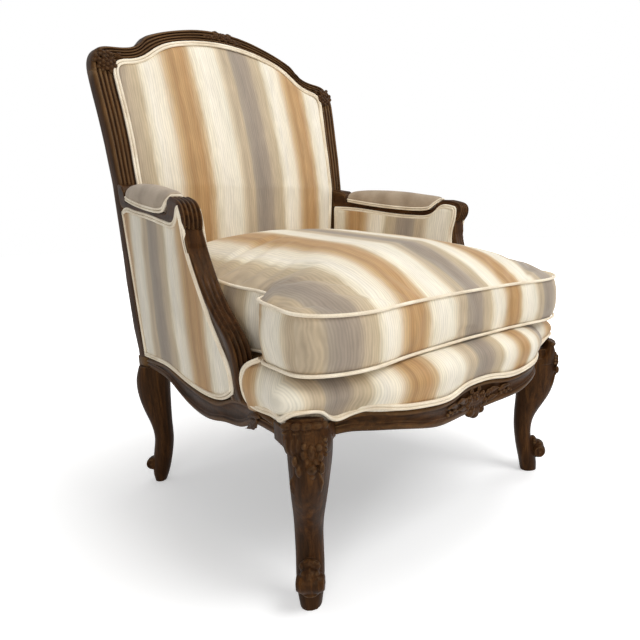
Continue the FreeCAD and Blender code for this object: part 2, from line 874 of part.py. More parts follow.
# Half outline of the deck: half width, depth, and how much of the bulge it has.
deck_plan = [
    (0.0, front_rail_face, 1.0),
    (front_rail_end * 0.1481, front_rail_face - 5.0, 1.0),
    (front_rail_end * 0.2963, front_rail_face - 12.0, 1.0),
    (front_rail_end * 0.4444, front_rail_face - 16.0, 1.0),
    (front_rail_end * 0.5926, front_rail_face - 13.5, 1.0),
    (front_rail_end * 0.7407, front_rail_face - 1.0, 1.1),
    (front_rail_end * 0.8444, front_rail_face + 20.0, 1.3),
    (front_rail_end * 0.9407, front_rail_face + 44.0, 1.8),
    (front_leg_x - 25.0, front_leg_y - 27.0, 2.3),
    (front_leg_x + 5.0, front_leg_y - 19.0, 2.5),
    (front_leg_x + 22.0, front_leg_y - 2.0, 2.4),
    (rail_x(-270.0), -270.0, 2.1),
    (rail_x(-225.0), -225.0, 1.3),
    (rail_x(ear_back) - 1.0, ear_back - 3.0, 0.8),
    (rail_x(ear_back) - 30.0, ear_back, 0.0),
    (inner_face(ear_back) - arm_face_gap, ear_back + 6.0, 0.0),
    (inner_face(0.0) - arm_face_gap, 0.0, 0.0),
    (inner_face(150.0) - arm_face_gap, 150.0, 0.0),
    (inner_face(225.0) - arm_face_gap - 4.0, 225.0, 0.0),
    (120.0, 252.0, 0.0),
    (0.0, 252.0, 0.0),
]


def deck_ring(z, swell, inset):
    half = []
    for x, y, share in deck_plan:
        away = V(x, y + 60.0, 0)
        away.normalize()
        move = swell * share * deck_bulge - inset
        half.append((x + away.x * move if x else 0.0, y + away.y * move))
    points = [V(x, y, z) for x, y in half]
    return points + [V(-x, y, z) for x, y in reversed(half[1:-1])]


deck_rows = [
    (deck_low - 4.0, 0.0, 5.0),
    (deck_low + 0.15 * deck_rise, 0.0, 1.0),
    (deck_low + 0.28 * deck_rise, 0.35, 0.0),
    (deck_low + 0.42 * deck_rise, 0.95, 0.0),
    (deck_low + 0.60 * deck_rise, 1.0, 0.0),
    (deck_low + 0.80 * deck_rise, 0.55, 4.0),
    (deck_low + 0.93 * deck_rise, 0.0, 14.0),
    (deck_low + deck_rise, 0.0, 40.0),
]
deck = smooth_loft([deck_ring(*row) for row in deck_rows], 9)
wood = [nodes[n] for n in ("front_seat_rail", "front_leg_left", "front_leg_right")]
wood += [nodes[n] for n in ("side_seat_rail_left", "side_seat_rail_right")]
for piece in wood:
    deck = pick(deck.cut(piece))
keep("seat_deck", deck)

# Loose seat cushion: T-shaped, with ears in front of the stumps, drawn-in
# borders between the pipings and a full crown on top.



def waist(y):
    return inner_face(y) - cushion_side_gap


cushion_edge = [
    (0.0, cushion_front + 16.0),
    (cushion_ear_half_width * 0.1813, cushion_front + 14.0),
    (cushion_ear_half_width * 0.3625, cushion_front + 12.0),
    (cushion_ear_half_width * 0.5438, cushion_front + 6.0),
    (cushion_ear_half_width * 0.7251, cushion_front),
    (cushion_ear_half_width * 0.8610, cushion_front + 8.0),
    (cushion_ear_half_width * 0.9547, cushion_front + 26.0),
    (cushion_ear_half_width, cushion_front + 44.0),
    (cushion_ear_half_width - 4.0, cushion_front + 90.0),
    (cushion_ear_half_width - 12.0, cushion_front + 140.0),
    (cushion_ear_half_width - 26.0, ear_back - 6.0),
    (waist(ear_back) + 6.0, ear_back - 4.0),
    (waist(ear_back) - 3.0, ear_back + 8.0),
    (waist(-120.0), -120.0),
    (waist(0.0), 0.0),
    (waist(110.0), 110.0),
    (waist(210.0) - 4.0, 208.0),
    (waist(210.0) - 30.0, cushion_rear - 6.0),
    (110.0, cushion_rear),
    (0.0, cushion_rear),
]
core_half = 120.0
core_front = -200.0
core_rear = 120.0


def core_point(x, y):
    cx = core_half * min(1.0, x / waist(0.0))
    span = (y - cushion_front) / (cushion_rear - cushion_front)
    return cx, core_front + (core_rear - core_front) * span


def cushion_ring(level, inward, grow, slope):
    half = []
    for x, y in cushion_edge:
        cx, cy = core_point(x, y)
        px = x + (cx - x) * inward
        py = y + (cy - y) * inward
        if grow:
            away = V(x, y + 60.0, 0)
            away.normalize()
            px += away.x * grow
            py += away.y * grow
        if x == 0.0:
            px = 0.0
        half.append((px, py))
    points = [V(x, y, level + slope * (y - cushion_front)) for x, y in half]
    points += [V(-x, y, level + slope * (y - cushion_front)) for x, y in reversed(half[1:-1])]
    return points


cushion_rows = [
    (cushion_low, 0.0, 0.0, 0.0),
    (cushion_low + 0.5 * cushion_band, 0.0, 3.0, 0.45 * cushion_slope),
    (cushion_low + cushion_band, 0.0, 0.0, cushion_slope),
    (cushion_low + cushion_band + 0.28 * cushion_crown, 0.16, 0.0, cushion_slope),
    (cushion_low + cushion_band + 0.58 * cushion_crown, 0.38, 0.0, cushion_slope),
    (cushion_low + cushion_band + 0.87 * cushion_crown, 0.68, 0.0, cushion_slope),
    (cushion_low + cushion_band + cushion_crown, 0.97, 0.0, cushion_slope),
]
lower = smooth_loft([cushion_ring(*r) for r in cushion_rows[:3]], 4)
upper = smooth_loft([cushion_ring(*r) for r in cushion_rows[2:]], 8)
cushion = lower.fuse(upper)
keep("seat_cushion", pick(cushion))

# Under the deck: webbing tacked to the inner faces of the rails, stuffing on
# it, glued blocks in the corners and a thin cover below.
front_inner = front_rail_face + rail_thickness
inner_plan = [
    (0.0, front_inner),
    (front_rail_end * 0.2222, front_inner - 8.0),
    (front_rail_end * 0.4444, front_inner - 16.5),
    (front_rail_end * 0.5926, front_inner - 14.0),
    (front_rail_end * 0.7407, front_inner - 1.0),
    (front_rail_end * 0.8444, front_inner + 21.0),
    (front_rail_end - 2.0, front_inner + 53.0),
    (front_rail_end - 2.0, side_rail_front),
    (rail_x(side_rail_front) - rail_thickness, side_rail_front),
    (rail_x(side_rail_rear) - rail_thickness, back_rail_y - 4.0),
]


def inner_panel(gap, low, high):
    right = [(max(x - gap, 0.0), y + gap) for x, y in inner_plan]
    right[-1] = (inner_plan[-1][0] - gap, back_rail_y - gap)
    points = [V(x, y, low) for x, y in right]
    points += [V(-x, y, low) for x, y in reversed(right[1:])]
    return Part.Face(wire_of(points)).extrude(V(0, 0, high - low))


web_z = rail_top - 22.0
tab = 16.0
straps = []
for index in range(webbing_count):
    y = -190.0 + index * 380.0 / (webbing_count - 1) - 0.5 * webbing_width
    reach = rail_x(y + webbing_width) - rail_thickness - seat_gap
    straps.append(Part.makeBox(2.0 * reach, webbing_width, webbing_thickness, V(-reach, y, web_z)))
    for end in (-reach, reach - webbing_thickness):
        straps.append(Part.makeBox(webbing_thickness, webbing_width, tab, V(end, y, web_z)))
for index in range(webbing_count):
    x = -150.0 + index * 300.0 / (webbing_count - 1) - 0.5 * webbing_width
    y0 = front_inner + seat_gap + (1.0 if abs(x + 25.0) < 100.0 else 0.5)
    y1 = back_rail_y - seat_gap
    straps.append(Part.makeBox(webbing_width, y1 - y0, webbing_thickness, V(x, y0, web_z)))
    for end in (y0, y1 - webbing_thickness):
        straps.append(Part.makeBox(webbing_width, webbing_thickness, tab, V(x, end, web_z)))
webbing = straps[0].fuse(straps[1:]).removeSplitter()
keep("seat_webbing", pick(webbing))

block_low_z = rail_top - 20.0
blocks = []
for y0, y1 in (
    (side_rail_front + seat_gap, side_rail_front + seat_gap + 0.6 * block_leg),
    (back_rail_y - seat_gap, back_rail_y - seat_gap - 0.9 * block_leg),
):
    edge0 = rail_x(y0) - rail_thickness - 2.0 * seat_gap
    edge1 = rail_x(y1) - rail_thickness - 2.0 * seat_gap
    plan = [V(edge0, y0, block_low_z), V(edge1 - block_leg, y0, block_low_z), V(edge1, y1, block_low_z)]
    block = Part.Face(wire_of(plan)).extrude(V(0, 0, block_height))
    block = pick(block.cut(post))
    blocks += [block, mirrored(block)]
for name, block in zip(("front_block_right", "front_block_left", "rear_block_right", "rear_block_left"), blocks):
    keep(name, block)
stuffing = inner_panel(2.0, web_z + webbing_thickness + seat_gap, deck_low - 4.0 - seat_gap)
for piece in blocks + [nodes["seat_webbing"], nodes["front_leg_left"], nodes["front_leg_right"], post, mirrored(post)]:
    stuffing = pick(stuffing.cut(piece))
keep("seat_stuffing", stuffing)
dust = inner_panel(seat_gap, web_z - seat_gap - dust_cover_thickness, web_z - seat_gap)
for piece in wood + both_posts:
    dust = pick(dust.cut(piece))
keep("dust_cover", dust)

spans = []
for name, shape in nodes.items():
    placed = shape.translated(V(0, centre_shift, 0))
    placed.exportStep("parts/" + name + ".step")
    box = placed.BoundBox
    spans.append((box.XMin, box.XMax, box.YMin, box.YMax, box.ZMin, box.ZMax))
    print(name, len(shape.Solids), round(shape.Volume / 1000.0, 1), shape.isValid())
print("box", [round(f(s[k] for s in spans), 2) for k, f in enumerate((min, max) * 3)])
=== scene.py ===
"""A bergere armchair: carved walnut frame, striped moire cover, loose cushion."""
import json
import logging
import math
from dataclasses import dataclass, field
from enum import Enum
from typing import Callable, Iterable, Sequence

import bmesh
import bpy
import numpy as np
from mathutils import Matrix, Vector
from mathutils.kdtree import KDTree

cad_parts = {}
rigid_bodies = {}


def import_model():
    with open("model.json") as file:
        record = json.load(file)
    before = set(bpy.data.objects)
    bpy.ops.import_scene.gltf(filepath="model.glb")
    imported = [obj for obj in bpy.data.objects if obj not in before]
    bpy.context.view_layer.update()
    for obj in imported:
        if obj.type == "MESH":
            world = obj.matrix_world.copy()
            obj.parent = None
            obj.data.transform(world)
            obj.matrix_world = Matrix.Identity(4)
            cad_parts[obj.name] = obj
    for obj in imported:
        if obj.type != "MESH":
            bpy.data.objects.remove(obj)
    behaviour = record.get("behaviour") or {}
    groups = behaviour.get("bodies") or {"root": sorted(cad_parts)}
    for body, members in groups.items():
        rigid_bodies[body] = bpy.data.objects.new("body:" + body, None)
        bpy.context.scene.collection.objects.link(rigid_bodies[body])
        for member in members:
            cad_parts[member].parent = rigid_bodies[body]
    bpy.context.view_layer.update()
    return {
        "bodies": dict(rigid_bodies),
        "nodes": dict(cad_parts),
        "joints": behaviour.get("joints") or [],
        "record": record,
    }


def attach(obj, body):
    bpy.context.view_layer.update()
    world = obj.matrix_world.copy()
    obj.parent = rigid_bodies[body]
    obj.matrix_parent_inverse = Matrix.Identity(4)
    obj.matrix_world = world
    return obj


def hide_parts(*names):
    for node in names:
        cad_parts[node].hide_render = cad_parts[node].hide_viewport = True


log = logging.getLogger("chair")

MM = 0.001
CENTRE_SHIFT = 7.1  # the footprint's centre lies this far behind the drawing's zero depth

SIDES = (("right", 1.0), ("left", -1.0))  # each side's name and the sign of its x
UPRIGHT_AXES = ((1, 0, 0), (0, 1, 0), (0, 0, 1))

Point = Sequence[float]


def metres(p: Point) -> tuple[float, float, float]:
    """Turns a drawing point in millimetres into a point of the chair's frame."""
    return (p[0] * MM, (p[1] + CENTRE_SHIFT) * MM, p[2] * MM)


def unit(v: Point) -> np.ndarray:
    """Gives a vector the length 1."""
    v = np.asarray(v, float)
    return v / max(np.linalg.norm(v), 1e-9)


def spline(points: Sequence[Point], count: int, closed: bool = False) -> np.ndarray:
    """Natural cubic through points, sampled evenly along its chord length.

    Args:
        points: the points that the curve passes through.
        count: how many points come back.
        closed: whether the curve returns to its first point.

    Returns:
        An array of count points; a closed curve doesn't repeat its first one.
    """
    pts = np.asarray(points, float)
    lead = 4 if closed else 0  # points repeated past each end, so that the join is as smooth as the rest
    if closed:
        pts = np.vstack([pts[-lead:], pts, pts[: lead + 1]])
    steps = np.maximum(np.linalg.norm(np.diff(pts, axis=0), axis=1), 1e-6)
    knots = np.concatenate([[0.0], np.cumsum(steps)])
    size = len(pts)
    matrix = np.zeros((size, size))
    right = np.zeros_like(pts)
    matrix[0, 0] = matrix[-1, -1] = 1.0
    for k in range(1, size - 1):
        matrix[k, k - 1] = steps[k - 1]
        matrix[k, k] = 2.0 * (steps[k - 1] + steps[k])
        matrix[k, k + 1] = steps[k]
        right[k] = 6.0 * ((pts[k + 1] - pts[k]) / steps[k] - (pts[k] - pts[k - 1]) / steps[k - 1])
    bend = np.linalg.solve(matrix, right)
    at = np.linspace(knots[lead], knots[size - lead - 1], count, endpoint=not closed)
    out = []
    for value in at:
        k = int(min(max(np.searchsorted(knots, value) - 1, 0), size - 2))
        h = steps[k]
        a, b = (knots[k + 1] - value) / h, (value - knots[k]) / h
        out.append(a * pts[k] + b * pts[k + 1] + ((a**3 - a) * bend[k] + (b**3 - b) * bend[k + 1]) * h * h / 6.0)
    return np.array(out)


def even(points: Sequence[Point], count: int) -> np.ndarray:
    """Walks a polyline and returns count points evenly spaced along it."""
    pts = np.asarray(points, float)
    run = np.concatenate([[0.0], np.cumsum(np.linalg.norm(np.diff(pts, axis=0), axis=1))])
    at = np.linspace(0.0, run[-1], count)
    return np.stack([np.interp(at, run, pts[:, k]) for k in range(pts.shape[1])], axis=1)


def both_sides(half: Sequence[Point]) -> list[Point]:
    """Closes half an outline, front middle to rear middle, with its mirror image."""
    return list(half) + [(-p[0], *p[1:]) for p in reversed(half[1:-1])]


def inset(outline: np.ndarray, gap: float, to_middle: bool = False) -> np.ndarray:
    """Moves a closed outline inwards.

    Args:
        outline: points of two coordinates each.
        gap: how far each point moves along its normal.
        to_middle: whether each normal is turned towards the outline's middle; otherwise the
            outline's direction says which way is in.

    Returns:
        The moved outline.
    """
    out, size = [], len(outline)
    middle = outline.mean(axis=0)
    for k in range(size):
        run = outline[(k + 2) % size] - outline[(k - 2) % size]
        normal = unit((-run[1], run[0]))
        if to_middle and np.dot(middle - outline[k], normal) < 0.0:
            normal = -normal
        out.append(outline[k] + normal * gap)
    return np.array(out)


def table(pairs: Sequence[Point], at: float) -> float:
    """Reads a value off a table of (place, value) pairs by straight lines."""
    return float(np.interp(at, [p[0] for p in pairs], [p[1] for p in pairs]))


def ease(value: float) -> float:
    """Smooth step from 0 to 1."""
    value = min(max(value, 0.0), 1.0)
    return value * value * (3.0 - 2.0 * value)


def ripple(x: float, y: float, z: float, seed: float = 0.0) -> float:
    """A slow, repeatable unevenness between -1 and 1 for hand-made surfaces."""
    return (
        math.sin(x * 0.031 + y * 0.017 + seed)
        + math.sin(y * 0.043 - z * 0.029 + seed * 1.7)
        + math.sin(z * 0.037 + x * 0.023 + seed * 2.3)
    ) / 3.0


# ----------------------------------------------------------------- drawing


@dataclass(frozen=True)
class Drawing:
    """The chair's driving sizes in millimetres, shared by every piece."""

    rail_top: float = 287.0
    arm_height: float = 600.0
    back_height: float = 1003.0
    crest_joint: float = 868.0
    knob_seat: float = 558.0
    deck_low: float = 289.0
    deck_rise: float = 70.0
    front_half_width: float = 335.0
    rear_half_width: float = 284.5
    side_rail_front: float = -262.0
    side_rail_rear: float = 275.0
    front_rail_end: float = 270.0
    front_rail_face: float = -376.0
    rail_thickness: float = 36.0
    arm_splay: float = 0.173
    arm_line_x: float = 347.5
    arm_thickness: float = 34.0
    arm_front: float = -20.0
    armrest_front: float = -34.0
    armrest_rear: float = 240.0
    crest_arch: float = 60.0
    post_thickness: float = 38.0
    cushion_low: float = 359.3
    cushion_band: float = 84.0
    cushion_crown: float = 58.0
    cushion_slope: float = 0.085
    cushion_front: float = -372.0
    cushion_rear: float = 248.0

    def rail_x(self, y: float) -> float:
        """Outside of the side rail at a depth."""
        slope = (self.front_half_width - self.rear_half_width) / (self.side_rail_rear - self.side_rail_front)
        return self.front_half_width - (y - self.side_rail_front) * slope

    def arm_x(self, y: float, z: float) -> float:
        """Outside of the arm at a depth and a height."""
        low = self.rail_x(y)
        high = self.arm_line_x - y * self.arm_splay
        return low + (high - low) * (z - self.rail_top) / (self.arm_height - self.rail_top)

    def back_y(self, z: float) -> float:
        """Front face of the back frame at a height."""
        return table(BACK_LINE, z)

    def crest_z(self, drop: float) -> float:
        """Height of a crest point from its drop below the highest line."""
        if drop < 60.0:
            return self.back_height - drop * self.crest_arch / 60.0
        span = self.back_height - self.crest_arch - self.crest_joint
        return self.back_height - self.crest_arch - (drop - 60.0) * span / 75.0

    def side_top(self, y: float) -> float:
        """Top edge of the side rail at a depth."""
        share = (y - self.side_rail_front) / (self.side_rail_rear - self.side_rail_front)
        return self.rail_top + table([(s, t) for s, t, _ in SIDE_RAIL_LINE], share)


BACK_LINE = (
    (225.0, 277.0), (300.0, 279.0), (345.0, 289.0), (450.0, 295.0), (560.0, 289.0), (650.0, 285.0),
    (729.0, 295.0), (796.0, 307.5), (843.0, 317.0), (868.0, 322.0), (1003.0, 349.0),
)
POST_LINES = (
    (225.0, 284.5, 244.0), (300.0, 284.5, 244.0), (345.0, 285.5, 245.5), (450.0, 288.0, 250.0),
    (560.0, 293.0, 256.5), (650.0, 298.0, 262.0), (729.0, 301.5, 263.0), (796.0, 305.0, 265.5),
    (843.0, 308.0, 268.5), (868.0, 309.0, 270.0),
)
CREST_EDGES = (
    (309.0, 135.0, 270.0, 135.0), (307.5, 117.0, 270.0, 121.0), (301.0, 99.0, 268.0, 113.0),
    (286.0, 85.0, 262.0, 107.0), (264.0, 80.0, 250.0, 103.0), (238.0, 77.0, 236.0, 101.0),
    (216.0, 70.5, 221.0, 97.0), (201.0, 60.0, 206.0, 91.0), (190.0, 47.5, 192.0, 82.0),
    (176.0, 39.0, 174.0, 68.5), (150.0, 28.5, 150.0, 54.5), (110.0, 16.0, 110.0, 41.0),
    (60.0, 4.5, 58.0, 31.0), (0.0, 0.0, 0.0, 27.0),
)
SIDE_RAIL_LINE = (
    (0.00, 0.0, -23.0), (0.07, 4.0, -22.0), (0.13, 7.0, -25.0), (0.19, 8.0, -38.0), (0.25, 3.0, -45.0),
    (0.33, -12.0, -50.0), (0.42, -18.0, -59.0), (0.52, -15.0, -59.5), (0.62, -8.0, -51.0),
    (0.70, -1.0, -39.0), (0.77, 5.0, -28.0), (0.85, 5.0, -22.5), (0.93, 2.0, -21.0), (1.00, 0.0, -21.0),
)
FRONT_RAIL_LINE = (
    (270.0, 53.0, -1.0, -27.0), (252.0, 42.0, 4.0, -25.0), (228.0, 21.0, 8.0, -25.0),
    (200.0, -1.0, 5.0, -26.0), (160.0, -14.0, 1.0, -33.0), (120.0, -16.5, -3.0, -41.0),
    (80.0, -12.0, -4.5, -45.0), (40.0, -5.0, 0.0, -48.0), (0.0, 0.0, 0.0, -51.0),
)
ARM_TOP = (
    (243.0, 17.0), (200.0, 10.5), (140.0, 2.0), (100.0, -4.0), (60.0, -9.0), (20.0, -12.5), (-8.0, -13.5),
    (-22.0, -10.0), (-31.0, -2.0), (-38.0, 5.0), (-47.0, 9.0), (-61.0, 8.0), (-76.0, 4.5), (-89.0, -0.5),
    (-96.0, -8.0), (-98.0, -18.0), (-95.5, -30.0), (-87.0, -42.0),
)
ARM_UNDER = ((-52.0, 558.0), (-42.0, 567.0), (0.0, 572.0), (64.0, 574.0), (170.0, 584.0), (240.0, 596.0),
             (290.0, 602.0))
REST_ROWS = (
    (0.000, 6.0, 11.5, 0.35), (0.015, 1.5, 16.0, 0.62), (0.050, -7.0, 19.0, 0.86), (0.110, -13.6, 22.0, 0.97),
    (0.200, -13.6, 26.0, 1.00), (0.340, -10.6, 32.0, 1.00), (0.500, -5.6, 37.0, 1.00),
    (0.670, 0.8, 40.5, 1.00),
    (0.850, 8.8, 42.0, 0.97), (0.955, 13.8, 40.0, 0.88), (0.990, 16.0, 34.0, 0.66), (1.000, 19.0, 28.0, 0.40),
)
DRAWING = Drawing()


# ----------------------------------------------------------------- meshes


def enlist(name: str, data: bpy.types.ID) -> bpy.types.Object:
    """Makes an object of a mesh, curve, lamp or camera and puts it in the scene."""
    obj = bpy.data.objects.new(name, data)
    bpy.context.scene.collection.objects.link(obj)
    return obj


@dataclass
class Clay:
    """Faces gathered for one piece, in drawing millimetres."""

    points: list[tuple[float, float, float]] = field(default_factory=list)
    faces: list[tuple[int, ...]] = field(default_factory=list)

    def loft(self, rings: Sequence[Sequence[Point]], caps: bool = True) -> "Clay":
        """Skins closed rings one after another.

        Args:
            rings: rings with the same number of points each.
            caps: whether the first and last ring are closed with a fan.

        Returns:
            This clay, for chaining.
        """
        base, size = len(self.points), len(rings[0])
        for ring in rings:
            self.points += [tuple(float(c) for c in p) for p in ring]
        for r in range(len(rings) - 1):
            a, b = base + r * size, base + (r + 1) * size
            for k in range(size):
                n = (k + 1) % size
                self.faces.append((a + k, a + n, b + n, b + k))
        if caps:
            for start, ring, turn in ((base, rings[0], True),
                                      (base + (len(rings) - 1) * size, rings[-1], False)):
                hub = len(self.points)
                self.points.append(tuple(float(c) for c in np.mean(np.asarray(ring, float), axis=0)))
                for k in range(size):
                    n = (k + 1) % size
                    self.faces.append((hub, start + n, start + k) if turn else (hub, start + k, start + n))
        return self

    def blob(self, centre: Point, axes: Sequence[Point], radii: Point, rows: int = 8,
             around: int = 12) -> "Clay":
        """Adds an ellipsoid with its own three axes."""
        frame = [np.asarray(a, float) for a in axes]
        c = np.asarray(centre, float)
        rings = []
        for r in range(1, rows):
            lat = math.pi * r / rows
            ring = []
            for k in range(around):
                lon = 2.0 * math.pi * k / around
                offset = (
                    frame[0] * radii[0] * math.sin(lat) * math.cos(lon)
                    + frame[1] * radii[1] * math.sin(lat) * math.sin(lon)
                    + frame[2] * radii[2] * math.cos(lat)
                )
                ring.append(c + offset)
            rings.append(ring)
        return self.loft(rings)

    def leaf(self, path: Sequence[Point], normal: Point, width: float, thick: float,
             lobes: int = 0) -> "Clay":
        """Adds a carved leaf with a midrib along a path.

        Args:
            path: points from the stem to the tip.
            normal: which way the leaf faces.
            width: half width at its broadest.
            thick: height of the leaf over its ground.
            lobes: notches on each side; 0 gives a plain leaf.

        Returns:
            This clay, for chaining.
        """
        last = 17
        line = spline(path, last + 1)
        face = unit(normal)
        rings = []
        for k, p in enumerate(line):
            run = unit(line[min(k + 1, last)] - line[max(k - 1, 0)])
            side = unit(np.cross(face, run))
            share = k / last
            half = width * (math.sin(math.pi * min(share * 1.15,
                                                   1.0) ** 0.8) * 0.92 + 0.08) * (1.0 - 0.25 * share)
            if lobes:
                half *= 0.78 + 0.22 * abs(math.cos(math.pi * lobes * share))
            up = thick * (0.5 + 0.5 * math.sin(math.pi * share))
            ring = []
            for across, rise in ((-1.0, 0.0), (-0.6, 0.75), (-0.2, 0.7), (0.0, 1.0), (0.2, 0.7), (0.6, 0.75),
                                 (1.0, 0.0), (0.5, -0.6), (-0.5, -0.6)):
                ring.append(p + side * across * half + face * rise * up)
            rings.append(ring)
        return self.loft(rings)

    def bloom(self, centre: Point, normal: Point, radius: float, petals: int, turn: float = 0.0) -> "Clay":
        """Adds a carved rose: two rings of cupped petals round a domed heart."""
        n = unit(normal)
        u = unit(np.cross((0.0, 0.0, 1.0) if abs(n[2]) < 0.9 else (1.0, 0.0, 0.0), n))
        v = np.cross(n, u)
        c = np.asarray(centre, float)
        self.blob(c + n * radius * 0.3, (u, v, n), (radius * 0.3, radius * 0.3, radius * 0.34))
        for layer, (reach, lift, wide) in enumerate(((0.66, 0.0, 0.44), (0.36, 0.2, 0.3))):
            for k in range(petals):
                angle = turn + 2.0 * math.pi * (k + 0.5 * layer) / petals
                out = u * math.cos(angle) + v * math.sin(angle)
                side = np.cross(n, out)
                lean = out * 0.86 + n * 0.42
                top = np.cross(lean, side)
                self.blob(c + out * radius * reach + n * radius * lift, (lean, side, top),
                          (radius * 0.42, radius * wide, radius * 0.2))
        return self

    def roll(self, base: Point, axis: Point, along: Point, radius: float, length: float,
             sides: int) -> "Clay":
        """Adds a round bar from a base point along an axis."""
        b, a, u = (np.asarray(v, float) for v in (base, axis, along))
        up = np.array([0.0, 0.0, 1.0])
        rings = []
        for reach, grow in ((0.0, 0.5), (0.02, 0.68), (0.07, 0.82), (0.2, 0.95), (0.5, 1.0), (0.8, 0.95),
                            (0.93, 0.82),
                            (0.98, 0.68), (1.0, 0.5)):
            ring = [b + a * length * reach + (u * math.cos(t) + up * math.sin(t)) * radius * grow
                    for t in (2.0 * math.pi * k / sides for k in range(sides))]
            rings.append(ring)
        return self.loft(rings)

    def mirrored(self) -> "Clay":
        """Returns the same clay on the other side of the chair."""
        return Clay([(-x, y, z) for x, y, z in self.points], [tuple(reversed(f)) for f in self.faces])

    def on_side(self, sign: float) -> "Clay":
        """This clay for a positive sign, its mirror image for a negative one."""
        return self if sign > 0 else self.mirrored()

    def add(self, other: "Clay") -> "Clay":
        """Takes in another clay's faces."""
        base = len(self.points)
        self.points += other.points
        self.faces += [tuple(i + base for i in f) for f in other.faces]
        return self

    def piece(self, name: str) -> bpy.types.Object:
        """Makes the mesh object, with faces outwards and shaded smooth."""
        mesh = bpy.data.meshes.new(name)
        mesh.from_pydata([metres(p) for p in self.points], [], self.faces)
        work = bmesh.new()
        work.from_mesh(mesh)
        bmesh.ops.remove_doubles(work, verts=work.verts, dist=1e-6)
        bmesh.ops.recalc_face_normals(work, faces=work.faces)
        work.to_mesh(mesh)
        work.free()
        mesh.polygons.foreach_set("use_smooth", [True] * len(mesh.polygons))
        return enlist(name, mesh)


def settle(obj: bpy.types.Object) -> None:
    """Applies an object's modifiers to its mesh and clears them."""
    graph = bpy.context.evaluated_depsgraph_get()
    graph.update()
    mesh = bpy.data.meshes.new_from_object(obj.evaluated_get(graph))
    old = obj.data
    obj.modifiers.clear()
    obj.data = mesh
    mesh.name = obj.name
    if isinstance(old, bpy.types.Mesh):
        bpy.data.meshes.remove(old)
    mesh.polygons.foreach_set("use_smooth", [True] * len(mesh.polygons))


def carve(obj: bpy.types.Object, voxel: float, smooth: int) -> None:
    """Fuses a piece's overlapping forms into one hand-carved surface.

    Args:
        obj: the piece.
        voxel: size of the smallest detail that stays, in millimetres.
        smooth: passes of smoothing, as polishing wears the surface.
    """
    mod = obj.modifiers.new("carve", "REMESH")
    mod.mode = "VOXEL"
    mod.voxel_size = voxel * MM
    soft = obj.modifiers.new("polish", "SMOOTH")
    soft.factor = 0.5
    soft.iterations = smooth
    settle(obj)


def places(mesh: bpy.types.Mesh) -> np.ndarray:
    """The mesh's points in metres, one row each."""
    flat = np.empty(len(mesh.vertices) * 3)
    mesh.vertices.foreach_get("co", flat)
    return flat.reshape(-1, 3)


SEAM_REACH = 9.0  # mm of cloth beside a seam that the seam holds
FILLING_STEPS = 20


def stuff(obj: bpy.types.Object, seams: Sequence[Point], voxel: float = 8.0, pressure: float = 4.0,
          growth: float = 0.022, limit: float = 20.0) -> None:
    """Fills a sewn case as stuffing does, by a short cloth simulation.

    Args:
        obj: the case, changed in place.
        seams: points in mm along the seams, which keep their place.
        voxel: size in mm of the cloth's meshes.
        pressure: how hard the filling presses.
        growth: how much longer the cloth is than the case, which gives the puckers.
        limit: the furthest in mm that a point may move.
    """
    mesher = obj.modifiers.new("mesher", "REMESH")
    mesher.mode, mesher.voxel_size = "VOXEL", voxel * MM
    settle(obj)
    tree = KDTree(len(seams))
    for k, p in enumerate(seams):
        tree.insert(metres(p), k)
    tree.balance()
    start = places(obj.data)
    held = obj.vertex_groups.new(name="seam")
    near = [k for k, point in enumerate(start) if tree.find(Vector(point))[2] < SEAM_REACH * MM]
    held.add(near, 1.0, "REPLACE")
    sewn = obj.modifiers.new("filling", "CLOTH")
    cloth = sewn.settings
    cloth.quality, cloth.mass = 6, 0.3
    cloth.tension_stiffness = cloth.compression_stiffness = 14.0
    cloth.shear_stiffness, cloth.bending_stiffness = 6.0, 0.4
    cloth.use_pressure, cloth.uniform_pressure_force = True, pressure
    cloth.shrink_min = -growth
    cloth.vertex_group_mass = "seam"
    cloth.effector_weights.gravity = 0.0
    sewn.collision_settings.use_collision = False
    sewn.point_cache.frame_start, sewn.point_cache.frame_end = 1, FILLING_STEPS
    for step in range(1, FILLING_STEPS + 1):
        bpy.context.scene.frame_set(step)
    settle(obj)
    move = places(obj.data) - start
    size = np.maximum(np.linalg.norm(move, axis=1, keepdims=True), 1e-9)
    log.info("%s: filled, moved up to %.1f mm", obj.name, float(size.max()) / MM)
    move *= np.minimum(1.0, limit * MM / size)
    obj.data.vertices.foreach_set("co", (start + move).ravel())
    obj.vertex_groups.clear()
    bpy.context.scene.frame_set(1)
    fine = obj.modifiers.new("fine", "SUBSURF")
    fine.levels = fine.render_levels = 1
    settle(obj)


def map_cloth(obj: bpy.types.Object, place: Callable[[Vector, Vector], tuple[float, float]]) -> None:
    """Lays the cloth's own coordinates on a piece.

    Args:
        obj: the piece.
        place: gives (stripe phase, length along the stripe) for a corner's place in
            drawing millimetres and its face's normal.
    """
    mesh = obj.data
    layer = mesh.uv_layers.new(name="cloth")
    for poly in mesh.polygons:
        normal = poly.normal
        for loop in poly.loop_indices:
            co = mesh.vertices[mesh.loops[loop].vertex_index].co
            spot = Vector((co.x / MM, co.y / MM - CENTRE_SHIFT, co.z / MM))
            layer.data[loop].uv = place(spot, normal)


# --------------------------------------------------------------- materials


def linear(code: str) -> tuple[float, float, float, float]:
    """Turns an sRGB hex value such as #c79b6b into linear colour."""
    parts = [int(code[k : k + 2], 16) / 255.0 for k in (1, 3, 5)]
    rgb = [c / 12.92 if c <= 0.04045 else ((c + 0.055) / 1.055) ** 2.4 for c in parts]
    return (rgb[0], rgb[1], rgb[2], 1.0)


